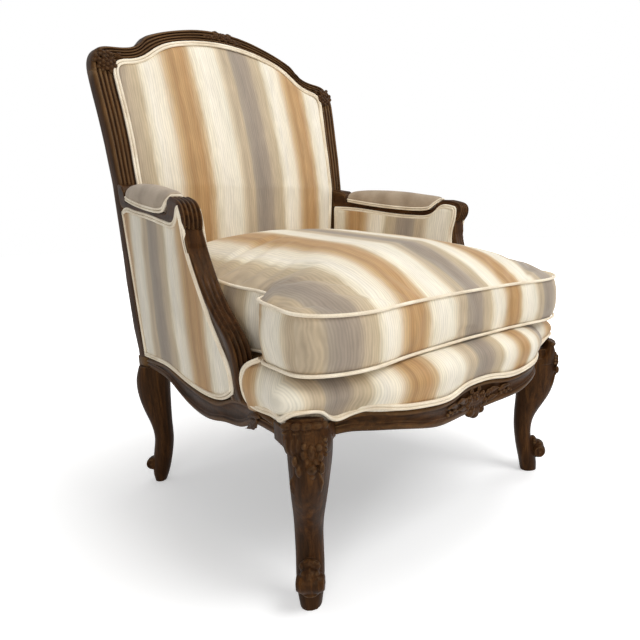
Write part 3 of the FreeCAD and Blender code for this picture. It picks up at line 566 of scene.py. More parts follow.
def add(tree: bpy.types.NodeTree, kind: str, settings: dict | None = None,
        links: dict | None = None) -> bpy.types.Node:
    """Adds a node with its settings and links.

    Args:
        tree: the node tree.
        kind: the node's type name.
        settings: attribute or input names with their values.
        links: input names with the output sockets that feed them.

    Returns:
        The new node.
    """
    node = tree.nodes.new(kind)
    tune(node, settings or {})
    for key, socket in (links or {}).items():
        tree.links.new(socket, node.inputs[key])
    return node


def tune(node: bpy.types.Node, settings: dict) -> None:
    """Sets a node's inputs, its attributes where no input has the name, and a ramp's hex stops."""
    for key, value in settings.items():
        if key == "stops":
            elements = node.color_ramp.elements
            while len(elements) < len(value):
                elements.new(0.5)
            for element, (at, code) in zip(elements, value):
                element.position = at
                element.color = linear(code)
        elif isinstance(key, int) or key in node.inputs:
            node.inputs[key].default_value = value
        else:
            setattr(node, key, value)


def blank(name: str) -> tuple[bpy.types.Material, bpy.types.NodeTree, bpy.types.Node]:
    """Starts a material with its surface shader."""
    material = bpy.data.materials.new(name)
    material.use_nodes = True
    tree = material.node_tree
    return material, tree, tree.nodes["Principled BSDF"]


class Grain(Enum):
    """Which way the wood's fibres run."""

    UPRIGHT = (1.0, 1.0, 0.08)
    ACROSS = (0.08, 1.0, 1.0)
    DEEP = (1.0, 0.08, 1.0)


@dataclass(frozen=True)
class Walnut:
    """Carved walnut, stained dark and wax-finished: brown, satin; raised edges are paler, partly from wear and
    partly a painted highlight, and hollows carry painted shade.
    """

    # The deepest brown below is the painted shade laid into hollows.
    deep: str = "#1a0e06"
    dark: str = "#25140a"
    mid: str = "#3a2211"
    pale: str = "#553519"
    # The colour below paints raised edges paler: partly wear, partly a painted highlight.
    wear_and_highlight: str = "#8c6c48"
    pore_mm: float = 1.1
    band_mm: float = 9.0
    roughness: float = 0.36

    def build(self, grain: Grain) -> bpy.types.Material:
        """Makes the material with fibres that run one way."""
        material, tree, shader = blank(f"waxed_walnut_{grain.name.lower()}")
        place = add(tree, "ShaderNodeTexCoord").outputs["Object"]
        along = add(tree, "ShaderNodeMapping", {"Scale": grain.value}, {"Vector": place}).outputs["Vector"]
        bands = add(tree, "ShaderNodeTexNoise",
                    {"Scale": 1000.0 / self.band_mm, "Detail": 4.0, "Roughness": 0.6,
                                                 "Distortion": 0.6}, {"Vector": along}).outputs["Fac"]
        pores = add(tree, "ShaderNodeTexNoise",
                    {"Scale": 1000.0 / self.pore_mm, "Detail": 3.0, "Roughness": 0.7},
                    {"Vector": along}).outputs["Fac"]
        patches = add(tree, "ShaderNodeTexNoise", {"Scale": 14.0, "Detail": 3.0},
                      {"Vector": place}).outputs["Fac"]
        browns = ((0.30, self.dark), (0.50, self.mid), (0.72, self.pale))
        base = add(tree, "ShaderNodeValToRGB", {"stops": browns}, {"Fac": bands}).outputs["Color"]
        greys = ((0.36, "#7c7c7c"), (0.50, "#ffffff"))
        streak = add(tree, "ShaderNodeValToRGB", {"stops": greys}, {"Fac": pores}).outputs["Color"]
        brown = add(tree, "ShaderNodeMix", {"data_type": "RGBA", "blend_type": "MULTIPLY", 0: 0.55},
                    {6: base, 7: streak}).outputs[2]
        # Raised edges are painted paler, partly wear and partly a painted highlight; hollows are painted darker
        # as painted shade.
        curve = add(tree, "ShaderNodeNewGeometry").outputs["Pointiness"]
        edge = add(tree, "ShaderNodeMapRange", {1: 0.512, 2: 0.585, 3: 0.0, 4: 0.95}, {0: curve}).outputs[0]
        hollow = add(tree, "ShaderNodeMapRange", {1: 0.485, 2: 0.41, 3: 0.0, 4: 0.6}, {0: curve}).outputs[0]
        wear_and_highlight_mask = add(tree, "ShaderNodeMath", {"operation": "MULTIPLY"}, {0: edge, 1: patches}).outputs[0]
        wear_and_highlight_brown = add(tree, "ShaderNodeMix", {"data_type": "RGBA", 7: linear(self.wear_and_highlight)},
                     {0: wear_and_highlight_mask, 6: brown}).outputs[2]
        # Painted shade: hollows are darkened towards the deepest brown.
        hollow_shaded_brown = add(tree, "ShaderNodeMix", {"data_type": "RGBA", 7: linear(self.deep)},
                    {0: hollow, 6: wear_and_highlight_brown}).outputs[2]
        tree.links.new(hollow_shaded_brown, shader.inputs["Base Color"])
        rough = add(tree, "ShaderNodeMapRange",
                    {1: 0.3, 2: 0.7, 3: self.roughness - 0.08, 4: self.roughness + 0.14},
                    {0: patches}).outputs[0]
        tree.links.new(rough, shader.inputs["Roughness"])
        tune(shader, {"Specular IOR Level": 0.2, "Specular Tint": linear("#e8c9a0")})
        grooves = add(tree, "ShaderNodeBump", {"Strength": 0.22, "Distance": 0.0006},
                      {"Height": pores}).outputs[0]
        tool = add(tree, "ShaderNodeTexNoise", {"Scale": 130.0, "Detail": 2.0},
                   {"Vector": place}).outputs["Fac"]
        marks = add(tree, "ShaderNodeBump", {"Strength": 0.25, "Distance": 0.0012},
                    {"Height": tool, "Normal": grooves}).outputs[0]
        tree.links.new(marks, shader.inputs["Normal"])
        return material


@dataclass(frozen=True)
class MoireStripe:
    """Woven silk and cotton in soft-edged stripes, calendered so that it shows a watermark."""

    grey: str = "#988a7b"
    beige: str = "#bba88d"
    cream: str = "#f0e7d5"
    ivory: str = "#eadfc6"
    gold: str = "#bd9664"
    tan: str = "#ad8557"
    rose: str = "#d0b694"
    thread_mm: float = 1.2
    roughness: float = 0.62

    def stops(self) -> tuple[tuple[float, str], ...]:
        """One repeat of the stripes, from the middle of a grey to the next."""
        return (
            (0.000, self.grey), (0.085, "#a39380"), (0.115, self.beige), (0.190, "#c6b393"),
            (0.225, self.ivory),
            (0.265, self.cream), (0.345, "#ece0c8"), (0.385, self.rose), (0.415, "#c4a273"),
            (0.455, self.tan),
            (0.490, self.gold), (0.540, "#b58c5c"), (0.585, "#c8aa80"), (0.625, self.ivory),
            (0.690, self.cream),
            (0.800, "#ebe2cd"), (0.835, "#d9c8ab"), (0.870, self.beige), (0.920, "#c2ae90"),
            (0.945, "#a59785"),
            (1.000, self.grey),
        )

    def build(self) -> bpy.types.Material:
        """Makes the material; it reads the piece's cloth coordinates."""
        material, tree, shader = blank("striped_silk_moire")
        cloth = add(tree, "ShaderNodeUVMap", {"uv_map": "cloth"}).outputs["UV"]
        split = add(tree, "ShaderNodeSeparateXYZ", links={0: cloth})
        place = add(tree, "ShaderNodeTexCoord").outputs["Object"]
        long_way = add(tree, "ShaderNodeMapping", {"Scale": (60.0, 5.0, 1.0)},
                       {"Vector": cloth}).outputs["Vector"]
        drift = add(tree, "ShaderNodeTexNoise", {"Scale": 1.0, "Detail": 5.0, "Roughness": 0.62},
                    {"Vector": long_way}).outputs["Fac"]
        sway = add(tree, "ShaderNodeMath", {"operation": "MULTIPLY_ADD", 1: 0.045, 2: -0.0225},
                   {0: drift}).outputs[0]
        phase = add(tree, "ShaderNodeMath", {"operation": "ADD"}, {0: split.outputs[0], 1: sway}).outputs[0]
        turn = add(tree, "ShaderNodeMath", {"operation": "FRACT"}, {0: phase}).outputs[0]
        stripes = add(tree, "ShaderNodeValToRGB", {"stops": self.stops()}, {"Fac": turn}).outputs["Color"]
        # The watermark: long flame shapes a few millimetres wide, paler and darker.
        flame_way = add(tree, "ShaderNodeMapping", {"Scale": (22.0, 7.0, 1.0)},
                        {"Vector": cloth}).outputs["Vector"]
        flame = add(tree, "ShaderNodeTexWave", {"wave_type": "BANDS", "bands_direction": "X", "Scale": 0.9,
                                                "Distortion": 9.0, "Detail": 3.0, "Detail Scale": 0.7},
                    {"Vector": flame_way}).outputs["Fac"]
        shine = add(tree, "ShaderNodeMapRange", {1: 0.0, 2: 1.0, 3: 0.90, 4: 1.04}, {0: flame}).outputs[0]
        streak = add(tree, "ShaderNodeMapRange", {1: 0.3, 2: 0.7, 3: 0.90, 4: 1.07}, {0: drift}).outputs[0]
        cloud_way = add(tree, "ShaderNodeMapping", {"Scale": (7.0, 2.6, 1.0)},
                        {"Vector": cloth}).outputs["Vector"]
        cloud = add(tree, "ShaderNodeTexNoise", {"Scale": 1.0, "Detail": 3.0, "Distortion": 1.2},
                    {"Vector": cloud_way}).outputs["Fac"]
        lustre = add(tree, "ShaderNodeMapRange", {1: 0.3, 2: 0.7, 3: 0.90, 4: 1.04}, {0: cloud}).outputs[0]
        grain = add(tree, "ShaderNodeMath", {"operation": "MULTIPLY"}, {0: shine, 1: streak}).outputs[0]
        both = add(tree, "ShaderNodeMath", {"operation": "MULTIPLY"}, {0: grain, 1: lustre}).outputs[0]
        coloured = add(tree, "ShaderNodeVectorMath", {"operation": "SCALE"},
                       {0: stripes, "Scale": both}).outputs[0]
        tree.links.new(coloured, shader.inputs["Base Color"])
        tune(shader, {"Roughness": self.roughness, "Specular IOR Level": 0.35, "Sheen Weight": 0.15,
                      "Sheen Roughness": 0.45})
        # Threads, drawn coarser than the real 0.3 mm so that they show.
        weave = add(tree, "ShaderNodeTexNoise", {"Scale": 1000.0 / self.thread_mm, "Detail": 1.0},
                    {"Vector": place}).outputs["Fac"]
        bump = add(tree, "ShaderNodeBump", {"Strength": 0.16, "Distance": 0.0004},
                   {"Height": weave}).outputs[0]
        rib = add(tree, "ShaderNodeBump", {"Strength": 0.10, "Distance": 0.0008},
                  {"Height": flame, "Normal": bump}).outputs[0]
        tree.links.new(rib, shader.inputs["Normal"])
        return material


@dataclass(frozen=True)
class PlainCloth:
    """Plain woven cloth with a fine thread, slightly uneven in colour."""

    name: str = "plain_taupe_rep"
    light: str = "#b3a18b"
    dark: str = "#97856f"
    thread_mm: float = 1.3
    roughness: float = 0.8
    sheen: float = 0.2

    def build(self) -> bpy.types.Material:
        """Makes the material."""
        material, tree, shader = blank(self.name)
        place = add(tree, "ShaderNodeTexCoord").outputs["Object"]
        cloud = add(tree, "ShaderNodeTexNoise", {"Scale": 22.0, "Detail": 4.0},
                    {"Vector": place}).outputs["Fac"]
        thread = add(tree, "ShaderNodeTexNoise", {"Scale": 1000.0 / self.thread_mm, "Detail": 1.0},
                     {"Vector": place}).outputs["Fac"]
        mixed = add(tree, "ShaderNodeMath", {"operation": "MULTIPLY_ADD", 1: 0.35, 2: -0.175},
                    {0: thread}).outputs[0]
        tone = add(tree, "ShaderNodeMath", {"operation": "ADD"}, {0: cloud, 1: mixed}).outputs[0]
        tones = ((0.30, self.dark), (0.70, self.light))
        colour = add(tree, "ShaderNodeValToRGB", {"stops": tones}, {"Fac": tone}).outputs["Color"]
        tree.links.new(colour, shader.inputs["Base Color"])
        tune(shader, {"Roughness": self.roughness, "Specular IOR Level": 0.3, "Sheen Weight": self.sheen})
        bump = add(tree, "ShaderNodeBump", {"Strength": 0.25, "Distance": 0.0005},
                   {"Height": thread}).outputs[0]
        tree.links.new(bump, shader.inputs["Normal"])
        return material


@dataclass
class Palette:
    """Every finish on the chair, each made once."""

    upright: bpy.types.Material
    across: bpy.types.Material
    deep: bpy.types.Material
    stripe: bpy.types.Material
    taupe: bpy.types.Material
    welt: bpy.types.Material
    jute: bpy.types.Material
    hair: bpy.types.Material
    black: bpy.types.Material

    @classmethod
    def mix(cls) -> "Palette":
        """Makes the finishes."""
        walnut = Walnut()
        return cls(
            upright=walnut.build(Grain.UPRIGHT),
            across=walnut.build(Grain.ACROSS),
            deep=walnut.build(Grain.DEEP),
            stripe=MoireStripe().build(),
            taupe=PlainCloth().build(),
            welt=PlainCloth("cream_cotton_welt", "#f5ead4", "#dccbb0", 1.6, 0.75, 0.15).build(),
            jute=PlainCloth("jute_webbing", "#b39a70", "#8c7450", 2.4, 0.9, 0.1).build(),
            hair=PlainCloth("curled_hair_pad", "#4a3a2c", "#241b14", 3.0, 0.95, 0.2).build(),
            black=PlainCloth("black_cambric", "#2a2826", "#1b1a19", 1.4, 0.85, 0.1).build(),
        )


def dress(obj: bpy.types.Object, material: bpy.types.Material, slot: str, *nodes: str,
          body: str = "chair") -> None:
    """Gives a piece its finish, its body and the nodes that it stands for."""
    obj.data.materials.clear()
    obj.data.materials.append(material)
    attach(obj, body)
    if nodes:
        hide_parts(*nodes)
    log.info("%s: %d faces", obj.name, len(obj.data.polygons))


# ------------------------------------------------------------------- welts


def welt_tree(material: bpy.types.Material) -> bpy.types.GeometryNodeTree:
    """Builds the tree that sews a round cord along a drawn path.

    Args:
        material: the finish of the cord.

    Returns:
        The tree, with inputs named Radius and Sides.
    """
    tree = bpy.data.node_groups.new("sewn_welt", "GeometryNodeTree")
    face = tree.interface
    face.new_socket("Path", in_out="INPUT", socket_type="NodeSocketGeometry")
    radius = face.new_socket("Radius", in_out="INPUT", socket_type="NodeSocketFloat")
    radius.default_value = 0.0026
    sides = face.new_socket("Sides", in_out="INPUT", socket_type="NodeSocketInt")
    sides.default_value = 10
    face.new_socket("Cord", in_out="OUTPUT", socket_type="NodeSocketGeometry")
    source = add(tree, "NodeGroupInput")
    ring = add(tree, "GeometryNodeCurvePrimitiveCircle", links={"Radius": source.outputs["Radius"],
                                                               "Resolution": source.outputs["Sides"]})
    tube = add(tree, "GeometryNodeCurveToMesh", {"Fill Caps": True},
               {"Curve": source.outputs["Path"], "Profile Curve": ring.outputs["Curve"]})
    smooth = add(tree, "GeometryNodeSetShadeSmooth", links={"Geometry": tube.outputs["Mesh"]})
    solid = add(tree, "GeometryNodeRealizeInstances", links={"Geometry": smooth.outputs["Geometry"]})
    painted = add(tree, "GeometryNodeSetMaterial", {"Material": material},
                  {"Geometry": solid.outputs["Geometry"]})
    add(tree, "NodeGroupOutput", links={"Cord": painted.outputs["Geometry"]})
    return tree


@dataclass
class WeltMaker:
    """Sews the cream cords that edge every covered panel."""

    tree: bpy.types.GeometryNodeTree
    material: bpy.types.Material
    radius: float = 2.7

    def sew(self, name: str, paths: Iterable[tuple[Sequence[Point], bool]], radius: float | None = None,
            body: str = "chair") -> bpy.types.Object:
        """Sews cords along paths and returns them as one piece.

        Args:
            name: name of the piece.
            paths: (points in drawing millimetres, whether it is closed) for each cord.
            radius: radius of the cord in millimetres.
            body: the body that it rides on.

        Returns:
            The finished piece.
        """
        curve = bpy.data.curves.new(name, "CURVE")
        curve.dimensions = "3D"
        for points, closed in paths:
            line = curve.splines.new("POLY")
            line.points.add(len(points) - 1)
            for slot, p in zip(line.points, points):
                slot.co = (*metres(p), 1.0)
            line.use_cyclic_u = closed
        holder = enlist(name, curve)
        mod = holder.modifiers.new("welt", "NODES")
        mod.node_group = self.tree
        names = {s.name: s.identifier for s in self.tree.interface.items_tree if s.in_out == "INPUT"}
        mod[names["Radius"]] = (radius or self.radius) * MM
        mod[names["Sides"]] = 10
        graph = bpy.context.evaluated_depsgraph_get()
        graph.update()
        mesh = bpy.data.meshes.new_from_object(holder.evaluated_get(graph))
        bpy.data.objects.remove(holder)
        obj = enlist(name, mesh)
        dress(obj, self.material, "plain_cover", body=body)
        return obj


# -------------------------------------------------------------- back frame

MOULDING = (
    (0.00, 9.0), (0.03, 4.2), (0.08, 1.3), (0.15, 0.0), (0.20, 0.9), (0.24, 3.6), (0.265, 4.8), (0.29, 3.6),
    (0.33, 1.1), (0.38, 0.6), (0.43, 1.6), (0.465, 4.6), (0.49, 5.4), (0.515, 4.6), (0.55, 1.7), (0.61, 0.9),
    (0.66, 1.8), (0.69, 4.8), (0.715, 5.6), (0.74, 4.6), (0.79, 2.2), (0.86, 2.0), (0.91, 3.6), (0.94, 5.0),
    (1.00, 5.2),
)


def frame_ring(outer: Point, inner: Point) -> list[tuple[float, float, float]]:
    """Section of the back frame between an outer and an inner edge point (x, z)."""
    d = DRAWING
    ring = []
    for share, depth in MOULDING + ((1.0, d.post_thickness), (0.5, d.post_thickness),
                                    (0.12, d.post_thickness),
                                    (0.03, d.post_thickness - 2.5), (0.0, d.post_thickness - 8.0),
                                    (0.0, 20.0)):
        x = outer[0] + (inner[0] - outer[0]) * share
        z = outer[1] + (inner[1] - outer[1]) * share
        ring.append((x, d.back_y(z) + depth, z))
    return ring


LEG_TEMPLATE = ((1.00, 0.24), (0.78, 0.70), (0.25, 1.00), (-0.55, 0.95), (-1.00, 0.42), (-1.00, -0.42),
                (-0.55, -0.95), (0.25, -1.00), (0.78, -0.70), (1.00, -0.24))


@dataclass
class CabrioleLeg:
    """A leg of double curve set on the diagonal of the seat."""

    x: float
    y: float
    turn: tuple[float, float]
    profile: tuple[tuple[float, ...], ...]
    around: int = 32
    rows: int = 70

    def ring(self, z: float, u_in: float, u_out: float, half: float,
             lean: float = 0.0) -> list[tuple[float, ...]]:
        """Section of the leg at one height."""
        mid, reach = 0.5 * (u_in + u_out), 0.5 * (u_out - u_in)
        dx, dy = self.turn
        points = []
        for a, b in spline(LEG_TEMPLATE, self.around, True):
            u, t = mid + a * reach, b * half + lean
            points.append((self.x + u * dx - t * dy, self.y + u * dy + t * dx, z))
        return points

    def at(self, u: float, t: float, z: float) -> tuple[float, float, float]:
        """A point u out along the leg's diagonal and t across it."""
        dx, dy = self.turn
        return (self.x + u * dx - t * dy, self.y + u * dy + t * dx, z)

    def shaft(self) -> Clay:
        """The leg's own body."""
        rows = spline([r if len(r) == 5 else (*r, 0.0) for r in self.profile], self.rows)
        return Clay().loft([self.ring(*row) for row in rows])

    def scroll(self, out: float, height: float, radius: float, width: float, shift: float = 0.0) -> Clay:
        """The rolled scroll over the foot, with its raised eye."""
        dx, dy = self.turn
        axis = (-dy, dx, 0.0)
        clay = Clay()
        clay.roll(self.at(out, shift - 0.5 * width, height), axis, (dx, dy, 0.0), radius, width, 28)
        clay.roll(self.at(out, shift - 0.5 * width - 1.4, height), axis, (dx, dy, 0.0), 4.8, width + 2.8, 16)
        for side in (-1.0, 1.0):
            ring = [self.at(out + 10.0 * math.cos(a), shift + side * 0.465 * width,
                            height + 10.0 * math.sin(a))
                    for a in (2.0 * math.pi * k / 30 for k in range(30))]
            clay.add(tube(ring, 1.9, True))
        return clay


def tube(path: Sequence[Point], radius: float, closed: bool = False, sides: int = 8) -> Clay:
    """A round bar along a path, for beads and ribs that are carved in."""
    pts = [np.asarray(p, float) for p in path]
    rings, size = [], len(pts)
    normal = np.array([0.31, 0.17, 0.93])
    for k, p in enumerate(pts):
        a = pts[(k - 1) % size] if closed else pts[max(k - 1, 0)]
        b = pts[(k + 1) % size] if closed else pts[min(k + 1, size - 1)]
        run = unit(b - a)
        normal = unit(normal - run * float(np.dot(normal, run)))
        other = np.cross(run, normal)
        grow = 1.0 if closed else max(0.15, min(1.0, math.sin(math.pi * (k + 0.5) / size) * 3.0))
        rings.append([p + (normal * math.cos(t) + other * math.sin(t)) * radius * grow
                      for t in (2.0 * math.pi * j / sides for j in range(sides))])
    if closed:
        rings.append(rings[0])
    return Clay().loft(rings, caps=not closed)


@dataclass
class BackFrame:
    """Posts, crest and the carving on them."""

    palette: Palette
    rear_leg: CabrioleLeg = field(default_factory=lambda: CabrioleLeg(
        273.0, 292.0, (math.sqrt(0.5), math.sqrt(0.5)),
        ((0.0, -10.0, 11.0, 13.0), (18.0, -17.0, 14.0, 16.0), (42.0, -24.0, 12.0, 18.0),
         (70.0, -30.0, 8.0, 19.0),
         (100.0, -34.0, 3.0, 20.0), (130.0, -34.0, 6.0, 21.0), (165.0, -34.5, 18.0, 23.0),
         (206.0, -36.0, 28.0, 26.0), (240.0, -38.0, 28.0, 27.0), (268.0, -38.0, 20.0, 26.0))))

    def posts(self) -> None:
        """Each post: the moulded stile over the rear leg, in one length."""
        d = DRAWING
        rows = spline(POST_LINES, 70)
        stile = Clay().loft([frame_ring((o, z), (i, z)) for z, o, i in rows])
        leg = self.rear_leg.shaft().add(self.rear_leg.scroll(13.0, 42.0, 14.0, 28.0))
        inner, outer, front, rear = 240.0, d.rear_half_width, d.side_rail_rear, 317.0
        block = Clay().loft([[(inner, front, z), (outer, front, z), (outer, rear, z), (inner, rear, z)]
                             for z in (225.0, d.rail_top)])
        for side, clay_leg, clay_stile, clay_block in (
            ("right", leg, stile, block),
            ("left", leg.mirrored(), stile.mirrored(), block.mirrored()),
        ):
            foot = clay_leg.piece(f"rear_leg_carved_{side}")
            carve(foot, 1.7, 2)
            dress(foot, self.palette.upright, "walnut")
            post = clay_stile.add(clay_block).piece(f"post_moulded_{side}")
            dress(post, self.palette.upright, "walnut", f"back_post_{side}")

    def crest(self) -> None:
        """The arched crest rail with its moulding."""
        d = DRAWING
        right = [(a, d.crest_z(b), c, d.crest_z(e)) for a, b, c, e in CREST_EDGES]
        left = [(-a, b, -c, e) for a, b, c, e in reversed(right[:-1])]
        rows = spline(right + left, 200)
        clay = Clay().loft([frame_ring((a, b), (c, e)) for a, b, c, e in rows])
        obj = clay.piece("crest_moulded")
        dress(obj, self.palette.across, "walnut", "crest_rail")

    def shoulder_flower(self) -> Clay:
        """The bunch of small blossoms on a shoulder of the crest."""
        clay = Clay()
        y = DRAWING.back_y(885.0) + 2.0
        face = (0.15, -1.0, 0.15)
        rng = np.random.default_rng(11)
        for row in range(7):
            for k in range(5):
                a, b = (k - 2.0) * 8.6 + (row % 2) * 4.3, (row - 3.0) * 7.0
                if (a / 18.0) ** 2 + (b / 21.0) ** 2 > 1.1:
                    continue
                x, z = 283.0 + a * 0.9 + b * 0.42, 890.0 + b * 0.86 - a * 0.45
                x, z = x + rng.uniform(-1.2, 1.2), z + rng.uniform(-1.2, 1.2)
                swell = 4.0 * max(0.0, 1.0 - (a / 24.0) ** 2 - (b / 28.0) ** 2)
                r = rng.uniform(4.3, 5.6)
                clay.blob((x, y - swell, z), UPRIGHT_AXES, (r, r, r), 7, 10)
        clay.leaf([(262.0, y + 2, 903.0), (252.0, y + 1, 908.0), (240.0, y + 3, 910.0)], face, 5.0, 3.0, 3)
        clay.leaf([(290.0, y + 2, 872.0), (291.0, y + 1, 860.0), (293.0, y + 3, 848.0)], face, 5.0, 3.0, 3)
        return clay

    def crest_bouquet(self) -> Clay:
        """The bouquet on the middle of the crest, with leaves to both sides."""
        clay = Clay()
        y = DRAWING.back_y(990.0) + 1.5
        face = (0.0, -1.0, 0.25)
        for x, z, r, k in ((0.0, 993.0, 9.5, 6), (16.0, 991.0, 8.0, 5), (-16.0, 991.5, 8.0, 5),
                           (30.0, 987.0, 7.0, 5),
                           (-30.0, 987.5, 7.0, 5), (8.0, 980.0, 6.0, 5), (-9.0, 980.0, 6.0, 5),
                           (23.0, 978.0, 5.5, 4),
                           (-23.0, 978.5, 5.5, 4)):
            clay.bloom((x, y + 0.5, z), face, r, k, x * 0.31)
        for side in (-1.0, 1.0):
            clay.leaf([(side * 32.0, y + 2, 985.0), (side * 44.0, y + 1, 986.0), (side * 57.0, y + 3, 980.0)],
                      face, 6.5, 3.5, 4)
            clay.leaf([(side * 27.0, y + 2, 976.0), (side * 38.0, y + 1, 974.0), (side * 49.0, y + 3, 971.0)],
                      face, 4.5, 3.0, 3)
            clay.leaf([(side * 8.0, y + 3, 1000.0), (side * 20.0, y + 3, 1000.5),
                       (side * 31.0, y + 4, 996.0)],
                      face, 4.0, 3.0, 3)
        return clay

    def carvings(self) -> None:
        """All the carving on the crest, as one carved piece."""
        flower = self.shoulder_flower()
        clay = Clay().add(flower).add(flower.mirrored()).add(self.crest_bouquet())
        for side in (-1.0, 1.0):
            y = DRAWING.back_y(945.0)
            clay.leaf([(side * 217.0, y + 4, 925.0), (side * 208.0, y + 2, 934.0),
                       (side * 200.0, y + 4, 945.0)],
                      (0.0, -1.0, 0.2), 5.0, 3.0, 3)
        # A rounded boss fills the inner corner where the posts meet the crest.
        depth = DRAWING.back_y(880.0) + 13.0
        corners = ((abs(c), DRAWING.crest_z(e)) for a, b, c, e in CREST_EDGES)
        x, z = max(corners, key=lambda p: p[0] - p[1] * 0.4)
        for side in (-1.0, 1.0):
            clay.blob((side * (x - 1.0), depth, z - 1.0), UPRIGHT_AXES, (10.0, 9.0, 10.0))
        obj = clay.piece("crest_carving")
        carve(obj, 1.1, 1)
        dress(obj, self.palette.across, "walnut")

    def build(self) -> None:
        """Makes the whole back frame."""
        self.posts()
        self.crest()
        self.carvings()


# -------------------------------------------------------------- seat frame

RAIL_PROFILE = (
    (6.0, 0.0, 0.0), (2.6, 0.0, -1.2), (0.6, 0.0, -3.6), (0.0, 0.0, -6.5), (1.2, 0.0, -8.6),
    (3.2, 0.0, -10.0),
    (4.4, 0.5, 0.0), (3.2, 1.0, 14.0), (1.6, 1.0, 12.6), (2.8, 1.0, 11.4), (1.2, 1.0, 10.2), (0.0, 1.0, 7.6),
    (0.2, 1.0, 4.6), (1.6, 1.0, 2.0), (4.2, 1.0, 0.4), (8.0, 1.0, 0.0),
)


def rail_ring(place: Callable[[float, float], tuple[float, float, float]], top: float, low: float,
              depth: float) -> list[tuple[float, float, float]]:
    """Section of a seat rail: rolled top edge, shallow hollow and a bead below."""
    ring = []
    for inward, from_low, shift in RAIL_PROFILE:
        z = top + (low - top) * from_low + shift
        ring.append(place(inward, z))
    ring += [place(depth, low), place(depth, top)]
    return ring


